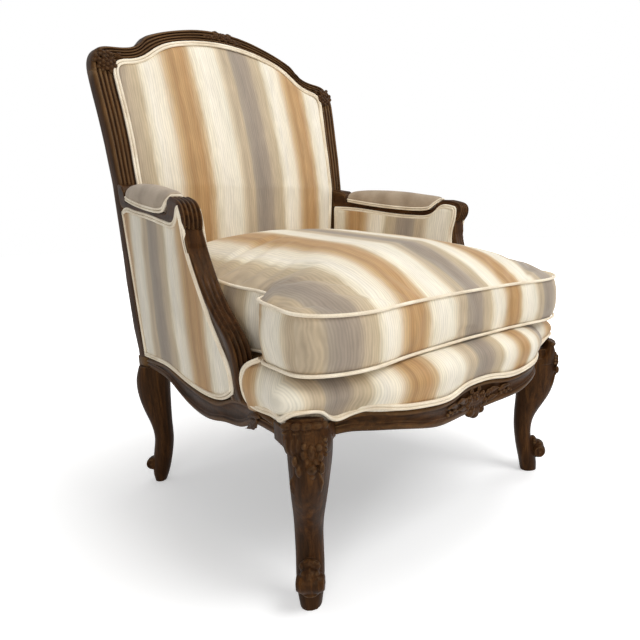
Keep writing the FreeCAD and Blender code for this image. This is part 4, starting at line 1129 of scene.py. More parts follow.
@dataclass
class SeatFrame:
    """Seat rails and front legs with their carving."""

    palette: Palette
    front_leg: CabrioleLeg = field(default_factory=lambda: CabrioleLeg(
        315.0, -301.0, (math.sqrt(0.5), -math.sqrt(0.5)),
        ((0.0, -18.0, 16.0, 15.5, 0.0), (24.0, -22.0, 15.0, 19.0, 0.0), (48.0, -27.0, 9.0, 20.5, 0.0),
         (75.0, -31.5, 2.5, 20.5, 0.0), (100.0, -34.0, 1.5, 20.5, 0.0), (125.0, -34.5, 6.5, 21.0, -1.0),
         (155.0, -33.0, 23.0, 23.0, -4.0), (185.0, -31.0, 40.0, 25.5, -7.0), (215.0, -31.0, 48.5, 28.0, -9.5),
         (245.0, -34.0, 49.0, 30.5, -11.0), (268.0, -36.0, 45.0, 31.5, -11.0))))

    def front_rail(self) -> None:
        """The serpentine front rail."""
        d = DRAWING
        rows = list(FRONT_RAIL_LINE) + [(-x, b, t, low) for x, b, t, low in reversed(FRONT_RAIL_LINE[:-1])]
        rings = []
        for x, back, top, low in spline(rows, 160):
            rings.append(rail_ring(lambda inward, z, x=x,
                                   back=back: (x, d.front_rail_face + back + inward, z),
                                   d.rail_top + top, d.rail_top + low, d.rail_thickness))
        obj = Clay().loft(rings).piece("front_rail_moulded")
        dress(obj, self.palette.across, "walnut", "front_seat_rail")

    def side_rails(self) -> None:
        """The shaped side rails."""
        d = DRAWING
        run = d.side_rail_rear - d.side_rail_front
        rings = []
        for share, top, low in spline([(s * run, t, b) for s, t, b in SIDE_RAIL_LINE], 130):
            y = d.side_rail_front + share
            rings.append(rail_ring(lambda inward, z, y=y: (d.rail_x(y) - inward, y, z),
                                   d.rail_top + top, d.rail_top + low, d.rail_thickness))
        clay = Clay().loft(rings)
        leaf = Clay()
        x = d.rail_x(-150.0) + 0.5
        leaf.leaf([(x + 6.0, -214.0, 275.0), (x + 3.0, -196.0, 262.0), (x + 1.0, -170.0, 250.0)], (1, 0, 0),
                  9.0, 4.0, 4)
        leaf.leaf([(x + 7.0, -224.0, 282.0), (x + 5.0, -205.0, 281.0), (x + 3.0, -182.0, 272.0)], (1, 0, 0),
                  7.0, 4.0, 3)
        for side, piece, carving in (("right", clay, leaf), ("left", clay.mirrored(), leaf.mirrored())):
            obj = piece.piece(f"side_rail_moulded_{side}")
            dress(obj, self.palette.deep, "walnut", f"side_seat_rail_{side}")
            cut = carving.piece(f"side_rail_leaf_{side}")
            carve(cut, 1.1, 1)
            dress(cut, self.palette.deep, "walnut")

    def legs(self) -> None:
        """The carved front legs with their blocks."""
        d, leg = DRAWING, self.front_leg
        clay = leg.shaft()
        clay.loft([leg.ring(*row) for row in spline(
            ((255.0, -10.0, 46.5, 31.5, -11.0), (287.0, 20.0, 44.0, 31.0, -11.0),
             (305.0, 24.0, 37.0, 24.0, -10.0)), 14)])
        plan = ((d.front_rail_end, d.side_rail_front), (d.rail_x(d.side_rail_front), d.side_rail_front),
                (leg.x + 31.0, leg.y + 1.0), (leg.x - 7.0, leg.y - 42.0), (d.front_rail_end, leg.y - 21.0))
        clay.loft([[(x, y, z) for x, y in plan] for z in (d.rail_top - 28.0, d.rail_top)])
        clay.add(leg.scroll(18.0, 48.0, 16.0, 41.0, -3.5))
        clay.add(self.knee_carving())
        for side, piece in (("right", clay), ("left", clay.mirrored())):
            obj = piece.piece(f"front_leg_carved_{side}")
            carve(obj, 1.25, 1)
            dress(obj, self.palette.upright, "walnut", f"front_leg_{side}")

    def knee_carving(self) -> Clay:
        """Blossoms and leaves on the knee, and the leaf over the foot scroll."""
        leg, clay = self.front_leg, Clay()
        dx, dy = leg.turn
        out, across, up = (dx, dy, 0.0), (-dy, dx, 0.0), (0.0, 0.0, 1.0)

        def lump(u: float, t: float, z: float, wide: float, tall: float, deep: float) -> None:
            """Adds a rounded lump u out along the diagonal and t across it."""
            clay.blob(leg.at(u, t, z), (across, up, out), (wide, tall, deep))

        for t, wide in ((13.0, 8.0), (0.0, 7.0), (-13.0, 8.0), (-26.0, 7.5), (-36.0, 5.0)):
            lump(42.5 - 0.010 * (t + 8.0) ** 2, t, 297.0, wide * 1.25, 6.0, 6.0)
            lump(41.5 - 0.010 * (t + 8.0) ** 2, t, 287.5, wide * 1.1, 3.4, 4.5)
        lump(47.5, -19.0, 262.0, 6.0, 11.5, 7.0)
        for t, z, wide, tall in ((-30.0, 257.0, 5.0, 8.0), (-29.0, 269.0, 5.0, 5.5), (-8.0, 259.0, 5.0, 8.5),
                                 (-9.5, 271.0, 4.6, 5.5), (-24.0, 249.0, 4.5, 5.0), (-13.0, 249.0, 4.5, 5.0)):
            lump(46.5, t, z, wide, tall, 5.0)
        lump(49.5, -18.0, 239.0, 7.6, 7.4, 6.0)
        lump(48.0, -18.0, 229.0, 5.0, 5.0, 4.0)
        lump(48.5, -1.0, 237.0, 5.0, 9.5, 5.0)
        lump(48.0, -32.0, 240.0, 4.4, 8.5, 4.5)
        lump(47.5, 4.0, 250.0, 4.5, 8.0, 4.5)
        for t in (-1.0, 6.5, 13.5):
            lump(44.5 - 0.012 * (t + 8.0) ** 2, t, 271.0, 4.2, 12.5, 4.4)
        for k in range(7):
            lump(41.5, -37.0 + 4.5 * (k % 2), 278.0 - 3.6 * k, 3.4, 3.4, 3.6)
        face = (dx, dy, 0.15)
        clay.leaf([leg.at(46.0, -14.0, 228.0), leg.at(42.5, -10.0, 200.0), leg.at(22.5, -6.0, 158.0)], face,
                  10.0, 3.4, 5)
        clay.leaf([leg.at(45.5, 2.0, 232.0), leg.at(40.0, 10.0, 212.0), leg.at(31.0, 10.0, 188.0)], face, 7.0,
                  3.0, 3)
        clay.leaf([leg.at(45.5, -28.0, 232.0), leg.at(40.0, -27.0, 212.0), leg.at(31.0, -23.0, 188.0)], face,
                  7.0, 3.0, 3)
        lump(15.0, -3.5, 55.0, 14.0, 18.0, 17.5)
        lump(8.0, -2.0, 68.0, 16.5, 12.0, 8.0)
        for t in (-11.5, 4.5):
            lump(20.0, t, 63.0, 6.4, 6.0, 6.5)
        lump(20.0, -3.5, 34.0, 13.0, 4.5, 12.0)
        return clay

    def rail_bouquet(self) -> None:
        """The bouquet on the middle of the front rail, with trailing leaves."""
        d, clay = DRAWING, Clay()
        face = (0.0, -1.0, -0.12)

        def on(x: float, z: float, rise: float = 0.0) -> tuple[float, float, float]:
            """A point that stands out from the rail's curved face by a rise."""
            back = table([(r[0], r[1]) for r in reversed(FRONT_RAIL_LINE)], abs(x))
            return (x, d.front_rail_face + back - rise, z)

        for x, z, r, k in ((0.0, 261.0, 12.5, 6), (19.0, 262.0, 9.0, 5), (-19.0, 262.0, 9.0, 5),
                           (10.0, 245.0, 8.5, 5),
                           (-10.0, 245.0, 8.5, 5), (34.0, 264.0, 7.0, 5), (-34.0, 264.0, 7.0, 5),
                           (26.0, 250.0, 6.5, 5),
                           (-26.0, 250.0, 6.5, 5), (11.0, 275.0, 5.5, 5), (-11.0, 275.0, 5.5, 5)):
            clay.bloom(on(x, z, -1.5), face, r, k, x * 0.2)
        ground = ((1, 0, 0), (0, 0, 1), (0, 1, 0))
        for x, z, wide, tall in ((0.0, 240.0, 24.0, 12.0), (0.0, 233.0, 12.0, 9.0), (15.0, 238.0, 9.0, 8.0),
                                 (-15.0, 238.0, 9.0, 8.0), (0.0, 256.0, 36.0, 14.0)):
            clay.blob(on(x, z, -4.0), ground, (wide, tall, 8.0), 10, 20)
        for s in (-1.0, 1.0):
            clay.leaf([on(s * 32.0, 260.0, -2.0), on(s * 48.0, 268.0, -1.0), on(s * 66.0, 266.0, -2.5)], face,
                      8.0, 3.6, 4)
            clay.leaf([on(s * 30.0, 250.0, -2.0), on(s * 46.0, 254.0, -1.0), on(s * 62.0, 256.0, -2.5)], face,
                      6.5, 3.4, 4)
            clay.leaf([on(s * 60.0, 262.0, -2.0), on(s * 78.0, 268.0, -1.5), on(s * 97.0, 266.0, -3.0)], face,
                      6.0, 3.2, 3)
            for k in range(5):
                clay.blob(on(s * (66.0 + 6.5 * k), 257.0 + 3.0 * (k % 2), -1.6), ground, (3.4, 3.4, 3.0), 6,
                          9)
        obj = clay.piece("front_rail_carving")
        carve(obj, 1.2, 1)
        dress(obj, self.palette.across, "walnut")

    def build(self) -> None:
        """Makes the rails, legs and carving."""
        self.front_rail()
        self.side_rails()
        self.legs()
        self.rail_bouquet()


# -------------------------------------------------------------------- arms


@dataclass
class Arms:
    """Stumps, arm rails with their knobs, and the covered panels between."""

    palette: Palette
    welts: WeltMaker
    reeds: int = 5
    flutes: int = 4
    stations: int = 80
    samples: int = 60
    outer_hub: tuple[float, float] = (60.0, 440.0)
    inner_hub: tuple[float, float] = (70.0, 450.0)

    def stump_lines(self) -> tuple[np.ndarray, np.ndarray]:
        """Front and rear edge of the stump as (depth, height), top first."""
        d = DRAWING
        f, k = d.arm_front, d.knob_seat
        front = spline(((f - 64, k), (f - 67, k - 25), (f - 75, k - 55), (f - 88, k - 86), (f - 107, k - 116),
                        (f - 132, k - 143), (f - 152, k - 168), (f - 156, k - 195), (f - 149, k - 225),
                        (f - 146, d.rail_top + 30), (f - 152, d.rail_top + 4)), self.stations)
        rear = spline(((f - 32, k), (f - 40, k - 50), (f - 58, k - 100), (f - 84, k - 150), (f - 98, k - 200),
                       (f - 104, d.rail_top + 25), (f - 108, d.rail_top)), self.stations)
        return front, rear

    def stump(self) -> Clay:
        """The swept stump, fluted down its front."""
        d = DRAWING
        front, rear = self.stump_lines()
        rings = []
        for k, (f, r) in enumerate(zip(front, rear)):
            run = unit(r - f)
            strength = 0.12 + 0.88 * ease((k - 14) / 20.0)
            ring = []
            for share in (j / self.samples for j in range(self.samples + 1)):
                wave = abs(math.sin(math.pi * self.flutes * share))
                depth = 3.4 * strength * (1.0 - wave) ** 0.75
                edge = 2.5 * (1.0 - ease(min(share, 1.0 - share) / 0.07))
                p = f + run * (depth + edge)
                ring.append((d.arm_x(p[0], p[1]) - d.arm_thickness * share, p[0], p[1]))
            for t in (0.3, 0.7, 1.0):
                p = f + (r - f) * t
                ring.append((d.arm_x(p[0], p[1]) - d.arm_thickness, p[0], p[1]))
            for t, lift in ((1.0, 0.0), (0.82, 0.0), (0.72, 1.6), (0.62, 0.4), (0.5, 1.4), (0.36, 0.0),
                            (0.2, -0.4)):
                p = f + (r - f) * t
                ring.append((d.arm_x(p[0], p[1]) - lift, p[0], p[1]))
            rings.append(ring)
        return Clay().loft(rings)

    def rail_lines(self) -> tuple[np.ndarray, np.ndarray]:
        """Top and underside of the arm rail as (depth, height), rear first."""
        d = DRAWING
        rear = d.back_y(610.0) + 1.0
        back = even([(rear, d.arm_height + 48), (258.0, d.arm_height + 43), (247.0, d.arm_height + 34),
                     (243.4, d.arm_height + 18)], 16)
        top = np.vstack([back, spline([(y, d.arm_height + z) for y, z in ARM_TOP], 104)])
        start = int(np.argmax(top[:, 0] < -20.0))
        pair = []
        for k, (y, _) in enumerate(top):
            low = y if k < start else -20.0 - 32.0 * (k - start) / (len(top) - 1.0 - start)
            pair.append((low, table(ARM_UNDER, low)))
        return top, np.array(pair)

    def rail(self) -> Clay:
        """The arm rail with the reeded knob curling over its front."""
        d = DRAWING
        top, under = self.rail_lines()
        wide = d.arm_thickness + 1.0
        rings = []
        for t, u in zip(top, under):
            run = unit(u - t)
            strength = ease((-36.0 - t[0]) / 26.0)
            ring = []
            for share in (j / self.samples for j in range(self.samples + 1)):
                wave = abs(math.sin(math.pi * self.reeds * share))
                depth = 3.8 * strength * (1.0 - wave) ** 0.8
                edge = 3.2 * (1.0 - ease(min(share, 1.0 - share) / 0.09))
                p = t + run * (depth + edge)
                ring.append((d.arm_x(p[0], p[1]) + 1.0 - wide * share, p[0], p[1]))
            for s in (0.2, 0.4, 0.6, 0.8, 0.97):
                p = t + (u - t) * s
                ring.append((d.arm_x(p[0], p[1]) + 1.0 - wide, p[0], p[1]))
            for s, lift in ((1.0, 2.5), (0.9, 0.6), (0.75, 0.0), (0.6, 0.0), (0.45, 0.0), (0.3, 0.0),
                            (0.15, 0.0)):
                p = t + (u - t) * s
                ring.append((d.arm_x(p[0], p[1]) + 1.0 - lift, p[0], p[1]))
            rings.append(ring)
        return Clay().loft(rings)

    def neck(self) -> Clay:
        """The smooth throat that joins the stump to the knob."""
        d = DRAWING
        front, _ = self.stump_lines()
        order = np.argsort(front[:, 1])
        low, high = 522.0, 562.0
        rings = []
        for z in np.linspace(low, high, 30):
            y = float(np.interp(z, front[order, 1], front[order, 0])) + 1.6 - 2.6 * ease((z - low) / 16.0)
            outer, inner = d.arm_x(y, z) + 0.9, d.arm_x(y, z) + 1.4 - d.arm_thickness
            corners = [(outer, y + 8.0, z), (outer, y + 4.0, z), (outer, y + 1.4, z), (outer - 1.4, y, z),
                       (0.5 * (outer + inner), y - 0.5, z), (inner + 1.4, y, z), (inner, y + 1.4, z),
                       (inner, y + 4.0, z), (inner, y + 8.0, z)]
            rings.append(even(corners + corners[:1], 65)[:-1])
        return Clay().loft(rings)

    def recess(self, name: str, outline: np.ndarray, hub: tuple[float, float], near: float, far: float,
               sign: float) -> bpy.types.Object:
        """A cutter that sinks a covered panel into the wood round it."""
        d, core = DRAWING, np.asarray(hub, float)
        small = core + (outline - core) * 0.02
        rings = [[(d.arm_x(y, z) + x, y, z) for y, z in line]
                 for line, x in ((small, near), (outline, near), (outline, far), (small, far))]
        clay = Clay().loft(rings)
        return clay.on_side(sign).piece(name)

    def panel(self, outline: np.ndarray, surface: Callable[[float, float, float], float],
              base: Callable[[float, float], float], hub: tuple[float, float]) -> Clay:
        """A padded panel over an outline in depth and height.

        Args:
            outline: closed outline points (depth, height).
            surface: x of the cover for a point and its share of the way in.
            base: x of the hidden back of the panel.
            hub: where the rings close in on, as (depth, height).

        Returns:
            The panel as clay.
        """
        rings = [[(base(y, z), y, z) for y, z in outline]]
        centre = np.asarray(hub, float)
        for share in (0.0, 0.012, 0.03, 0.06, 0.1, 0.16, 0.24, 0.34, 0.46, 0.6, 0.75, 0.9, 0.97):
            ring = []
            for p in outline:
                q = p + (centre - p) * share
                ring.append((surface(q[0], q[1], share), q[0], q[1]))
            rings.append(ring)
        return Clay().loft(rings)

    def outside_outline(self) -> np.ndarray:
        """Outline of the outside arm panel."""
        d = DRAWING
        f, rear = d.arm_front, d.back_y(450.0) - 12.0
        edge = ((rear - 4, d.side_top(rear) + 4), (f + 220, d.side_top(200) + 1),
                (f + 165, d.side_top(145) + 1),
                (f + 91, d.side_top(71) + 1), (f + 23, d.side_top(3) + 1), (f - 40, d.side_top(-60) + 1),
                (f - 92, d.side_top(-112) + 1), (f - 122, d.side_top(-134) + 10))
        h = d.arm_height
        front = ((f - 122, d.side_top(-134) + 10), (f - 130, 333), (f - 122, 369), (f - 106, 400),
                 (f - 90, 443),
                 (f - 75, 487), (f - 64.5, 537), (f - 69, h - 20), (f - 66, h - 3.5))
        top = ((f - 66, h - 3.5), (f - 54, h - 8), (f - 42, h - 18), (f - 28, h - 26.5), (f - 10, h - 30),
               (f + 15, h - 28), (f + 70, h - 20), (f + 135, h - 12), (f + 210, h - 4.5), (rear - 18, h - 1),
               (rear, h - 6))
        line = np.vstack([spline(edge, 50)[:-1], spline(front, 50)[:-1], spline(top, 60)])
        return even(np.vstack([line, line[:1]]), 221)[:-1]

    def inside_outline(self) -> np.ndarray:
        """Outline of the inside arm pad."""
        d = DRAWING
        f, k, h = d.arm_front, d.knob_seat, d.arm_height
        rear = d.back_y(450.0) - 14.0
        front = ((f - 120, d.deck_low + 10), (f - 112, 367), (f - 98, k - 145), (f - 78, k - 110),
                 (f - 63, k - 60),
                 (f - 61, k - 20), (f - 67, h - 24), (f - 65.5, h - 9))
        top = ((f - 65.5, h - 9), (f - 46, h - 3), (f - 30, h - 2), (f - 18, h - 7), (f - 7, h - 18),
               (f + 8, h - 25),
               (f + 35, h - 26), (f + 95, h - 21), (f + 160, h - 12), (f + 230, h - 2), (rear, h + 3))
        line = np.vstack([spline(front, 50)[:-1], spline(top, 60), [(rear, d.deck_low + 10)]])
        return even(np.vstack([line, line[:1]]), 221)[:-1]

    def covers(self) -> None:
        """Outside and inside arm covers on both sides, with their welts."""
        d = DRAWING
        outside, inside = self.outside_outline(), self.inside_outline()

        def rise(share: float) -> float:
            """How far the filling has risen at a share of the way in."""
            return ease(share / 0.06) * 0.45 + 0.55 * ease(share / 0.75)

        out_clay = self.panel(
            inset(outside, 3.0, True),
            lambda y, z, s: d.arm_x(y, z) - 2.5 + 7.0 * rise(s) + 0.4 * ripple(0, y * 2, z * 2),
            lambda y, z: d.arm_x(y, z) - 8.5, self.outer_hub)
        in_clay = self.panel(
            inset(inside, 2.0, True),
            lambda y, z, s: d.arm_x(y, z) - d.arm_thickness + 1.0 - 10.5 * rise(s) - 0.5 * ripple(9, y * 2,
                                                                                                  z * 2),
            lambda y, z: d.arm_x(y, z) - d.arm_thickness + 12.0, self.inner_hub)

        def stripe_out(p: Vector, n: Vector) -> tuple[float, float]:
            """Stripes of the outside panel, which lean with the arm."""
            grey = 142.0 - (p.z - 350.0) * 0.25
            return ((grey - p.y) / 360.0, p.z / FABRIC_REPEAT)

        def stripe_in(p: Vector, n: Vector) -> tuple[float, float]:
            """Stripes of the inside pad, which stand upright."""
            return ((p.y - 45.0) / 324.0, p.z / FABRIC_REPEAT)

        for side, sign in SIDES:
            for clay, name, node, place in (
                (out_clay, "outside_arm_cover", "outside_arm_panel", stripe_out),
                (in_clay, "inside_arm_cover", "inside_arm_pad", stripe_in),
            ):
                obj = clay.on_side(sign).piece(f"{name}_{side}")
                map_cloth(obj, place)
                dress(obj, self.palette.stripe, "striped_cover", f"{node}_{side}")
            paths = [([(sign * (d.arm_x(y, z) + lift - 0.6), y, z) for y, z in inset(outside, gap, True)],
                      True)
                     for gap, lift in ((2.4, 0.4), (7.6, 1.6))]
            self.welts.sew(f"outside_arm_welt_{side}", paths, 2.5)
            paths = [([(sign * (d.arm_x(y, z) - d.arm_thickness - lift + 0.4), y, z)
                       for y, z in inset(inside, gap, True)], True) for gap, lift in ((2.0, 0.5), (7.0, 1.8))]
            self.welts.sew(f"inside_arm_welt_{side}", paths, 2.5)

    def armrest(self) -> None:
        """The plain pads on the arm rails, with a double welt round the base."""
        d = DRAWING
        rings, left, right = [], [], []
        for share, base, top, wide in spline(REST_ROWS, 60):
            y = d.armrest_front + share * (d.armrest_rear - d.armrest_front)
            z, rise = d.arm_height + base + 0.4, top - base
            mid = d.arm_x(y, z) - 0.5 * d.arm_thickness
            half = 21.5 * wide
            ring = [(mid - half * 0.8, y, z), (mid, y, z), (mid + half * 0.8, y, z)]
            for k in range(25):
                a = math.radians(-22.0 + 224.0 * k / 24.0)
                ring.append((mid + half * math.copysign(abs(math.cos(a)) ** 0.85, math.cos(a)), y,
                             z + rise * (0.28 + 0.72 * math.sin(a))))
            rings.append(ring)
            left.append((mid + half + 0.3, y, z + 2.2))
            right.append((mid - half - 0.3, y, z + 2.2))
        clay = Clay().loft(rings)
        loop = left + list(reversed(right))
        for side, sign in SIDES:
            obj = clay.on_side(sign).piece(f"armrest_cover_{side}")
            dress(obj, self.palette.taupe, "plain_cover", f"armrest_pad_{side}")
            paths = [([(sign * x, y, z + up) for x, y, z in loop], True) for up in (-1.6, 2.9)]
            self.welts.sew(f"armrest_welt_{side}", paths, 2.0)

    def build(self) -> None:
        """Makes the arms."""
        stump, rail, d = self.stump(), self.rail(), DRAWING
        for side, sign in SIDES:
            cutters = [
                self.recess(f"outer_{side}", self.outside_outline(), self.outer_hub, -9.6, 40.0, sign),
                self.recess(f"inner_{side}", self.inside_outline(), self.inner_hub, -90.0,
                            13.6 - d.arm_thickness, sign),
            ]
            for clay, name, node, finish in (
                (stump, f"stump_fluted_{side}", f"arm_stump_{side}", self.palette.upright),
                (rail, f"arm_rail_reeded_{side}", f"arm_rail_{side}", self.palette.deep),
            ):
                obj = clay.on_side(sign).piece(name)
                for cutter in cutters:
                    cut = obj.modifiers.new("recess", "BOOLEAN")
                    cut.operation, cut.solver, cut.object = "DIFFERENCE", "MANIFOLD", cutter
                settle(obj)
                dress(obj, finish, "walnut", node)
            for cutter in cutters:
                bpy.data.objects.remove(cutter)
            neck = self.neck().on_side(sign).piece(f"knob_neck_{side}")
            dress(neck, self.palette.upright, "walnut")
        self.covers()
        self.armrest()


# -------------------------------------------------------------- upholstery

FABRIC_REPEAT = 305.0
BACK_PHASE = ((-282.5, -1.0), (-130.0, -0.5), (22.5, 0.0), (175.0, 0.5), (327.5, 1.0))
BAND_PHASE = ((-440.0, -1.5), (-290.0, -1.0), (-135.0, -0.5), (20.0, 0.0), (140.0, 0.5), (240.0, 1.0),
              (400.0, 1.5))
DECK_PHASE = ((-430.0, -1.5), (-282.0, -1.0), (-165.0, -0.5), (18.0, 0.0), (125.0, 0.5), (200.0, 1.0),
              (330.0, 1.5))


@dataclass
class BackCovers:
    """The crowned inside back, the outside back and their welts."""

    palette: Palette
    welts: WeltMaker
    crown: float = 33.0
    half_width: float = 274.0

    def edge(self) -> np.ndarray:
        """Inner edge of the frame as a closed line of (x, height)."""
        d = DRAWING
        low = d.rail_top + 14.5
        posts = [(i, z) for z, o, i in spline(POST_LINES, 60) if z > low + 3.0]
        right = [(c, d.crest_z(e)) for a, b, c, e in CREST_EDGES]
        left = [(-x, z) for x, z in reversed(right[:-1])]
        crest = [tuple(p) for p in spline(right + left, 140)]
        foot = (table([(z, i) for z, o, i in POST_LINES], low), low)
        line = [foot] + posts[:-1] + crest + [(-x, z) for x, z in reversed([foot] + posts[:-1])]
        line.append(line[0])
        points = even(line, 261)[:-1]
        run = np.roll(points, -1, axis=0) - points
        heading = np.arctan2(run[:, 1], run[:, 0])
        turn = np.abs((heading - np.roll(heading, 1) + math.pi) % (2.0 * math.pi) - math.pi)
        for shift in (1, -1, 1, -1):
            turn = np.maximum(turn, np.roll(turn, shift))
        share = np.clip((turn - 0.35) / 0.25, 0.0, 1.0)[:, None] * (points[:, 1:2] > 700.0)
        for _ in range(6):
            soft = 0.25 * np.roll(points, 1, axis=0) + 0.5 * points + 0.25 * np.roll(points, -1, axis=0)
            points = points + (soft - points) * share
        return points

    def dome(self, x: float, z: float, share: float) -> float:
        """Depth of the inside cover at a point."""
        d = DRAWING
        swell = table(((297, 0.75), (400, 1.0), (600, 1.0), (700, 0.95), (800, 0.8), (870, 0.62), (920, 0.4),
                       (960, 0.15), (1003, 0.02)), z)
        crown = (1.0 - (x / self.half_width) ** 2) * swell * self.crown
        lip = ease(share / 0.05)
        return d.back_y(z) + 5.0 - 3.0 * lip - crown * (0.15 + 0.85 * lip) + 0.6 * ripple(x, 0, z, 1.0)

    def build(self) -> None:
        """Makes the back covers."""
        d = DRAWING
        edge = self.edge()
        start = inset(edge, 2.0)
        if abs(start[:, 0]).max() > abs(edge[:, 0]).max():
            edge = edge[::-1]
            start = inset(edge, 2.0)
        hub = np.array([0.0, 640.0])
        rings = [[(x, d.back_y(z) + 25.0, z) for x, z in start]]
        for share in (0.0, 0.01, 0.025, 0.045, 0.07, 0.11, 0.16, 0.22, 0.29, 0.37, 0.46, 0.56, 0.67, 0.79,
                      0.91, 0.98):
            ring = []
            for p in start:
                q = p + (hub - p) * share
                ring.append((q[0], self.dome(q[0], q[1], share), q[1]))
            rings.append(ring)
        obj = Clay().loft(rings).piece("inside_back_cover")
        map_cloth(obj, lambda p, n: (table(BACK_PHASE, p.x), p.z / FABRIC_REPEAT))
        dress(obj, self.palette.stripe, "striped_cover", "inside_back_pad")
        rings = [[(x, d.back_y(z) + 27.5, z) for x, z in start]]
        for share in (0.0, 0.02, 0.06, 0.14, 0.3, 0.5, 0.75, 0.95):
            ring = []
            for p in start:
                q = p + (hub - p) * share
                ring.append((q[0], d.back_y(q[1]) + 33.5 + 3.0 * ease(share / 0.2), q[1]))
            rings.append(ring)
        rear = Clay().loft(rings).piece("outside_back_cover")
        map_cloth(rear, lambda p, n: (table(BACK_PHASE, p.x), p.z / FABRIC_REPEAT))
        dress(rear, self.palette.stripe, "striped_cover", "outside_back_panel")
        paths = [([(x, d.back_y(z) + 1.2 - up - 0.9 * (1.0 - (x / self.half_width) ** 2) * 3.0, z)
                   for x, z in inset(edge, gap)], True) for gap, up in ((2.6, 0.0), (8.0, 1.2))]
        self.welts.sew("back_welt", paths, 2.7)
        paths = [([(x, d.back_y(z) + 36.5, z) for x, z in inset(edge, gap)], True) for gap in (2.6, 8.0)]
        self.welts.sew("outside_back_welt", paths, 2.5)


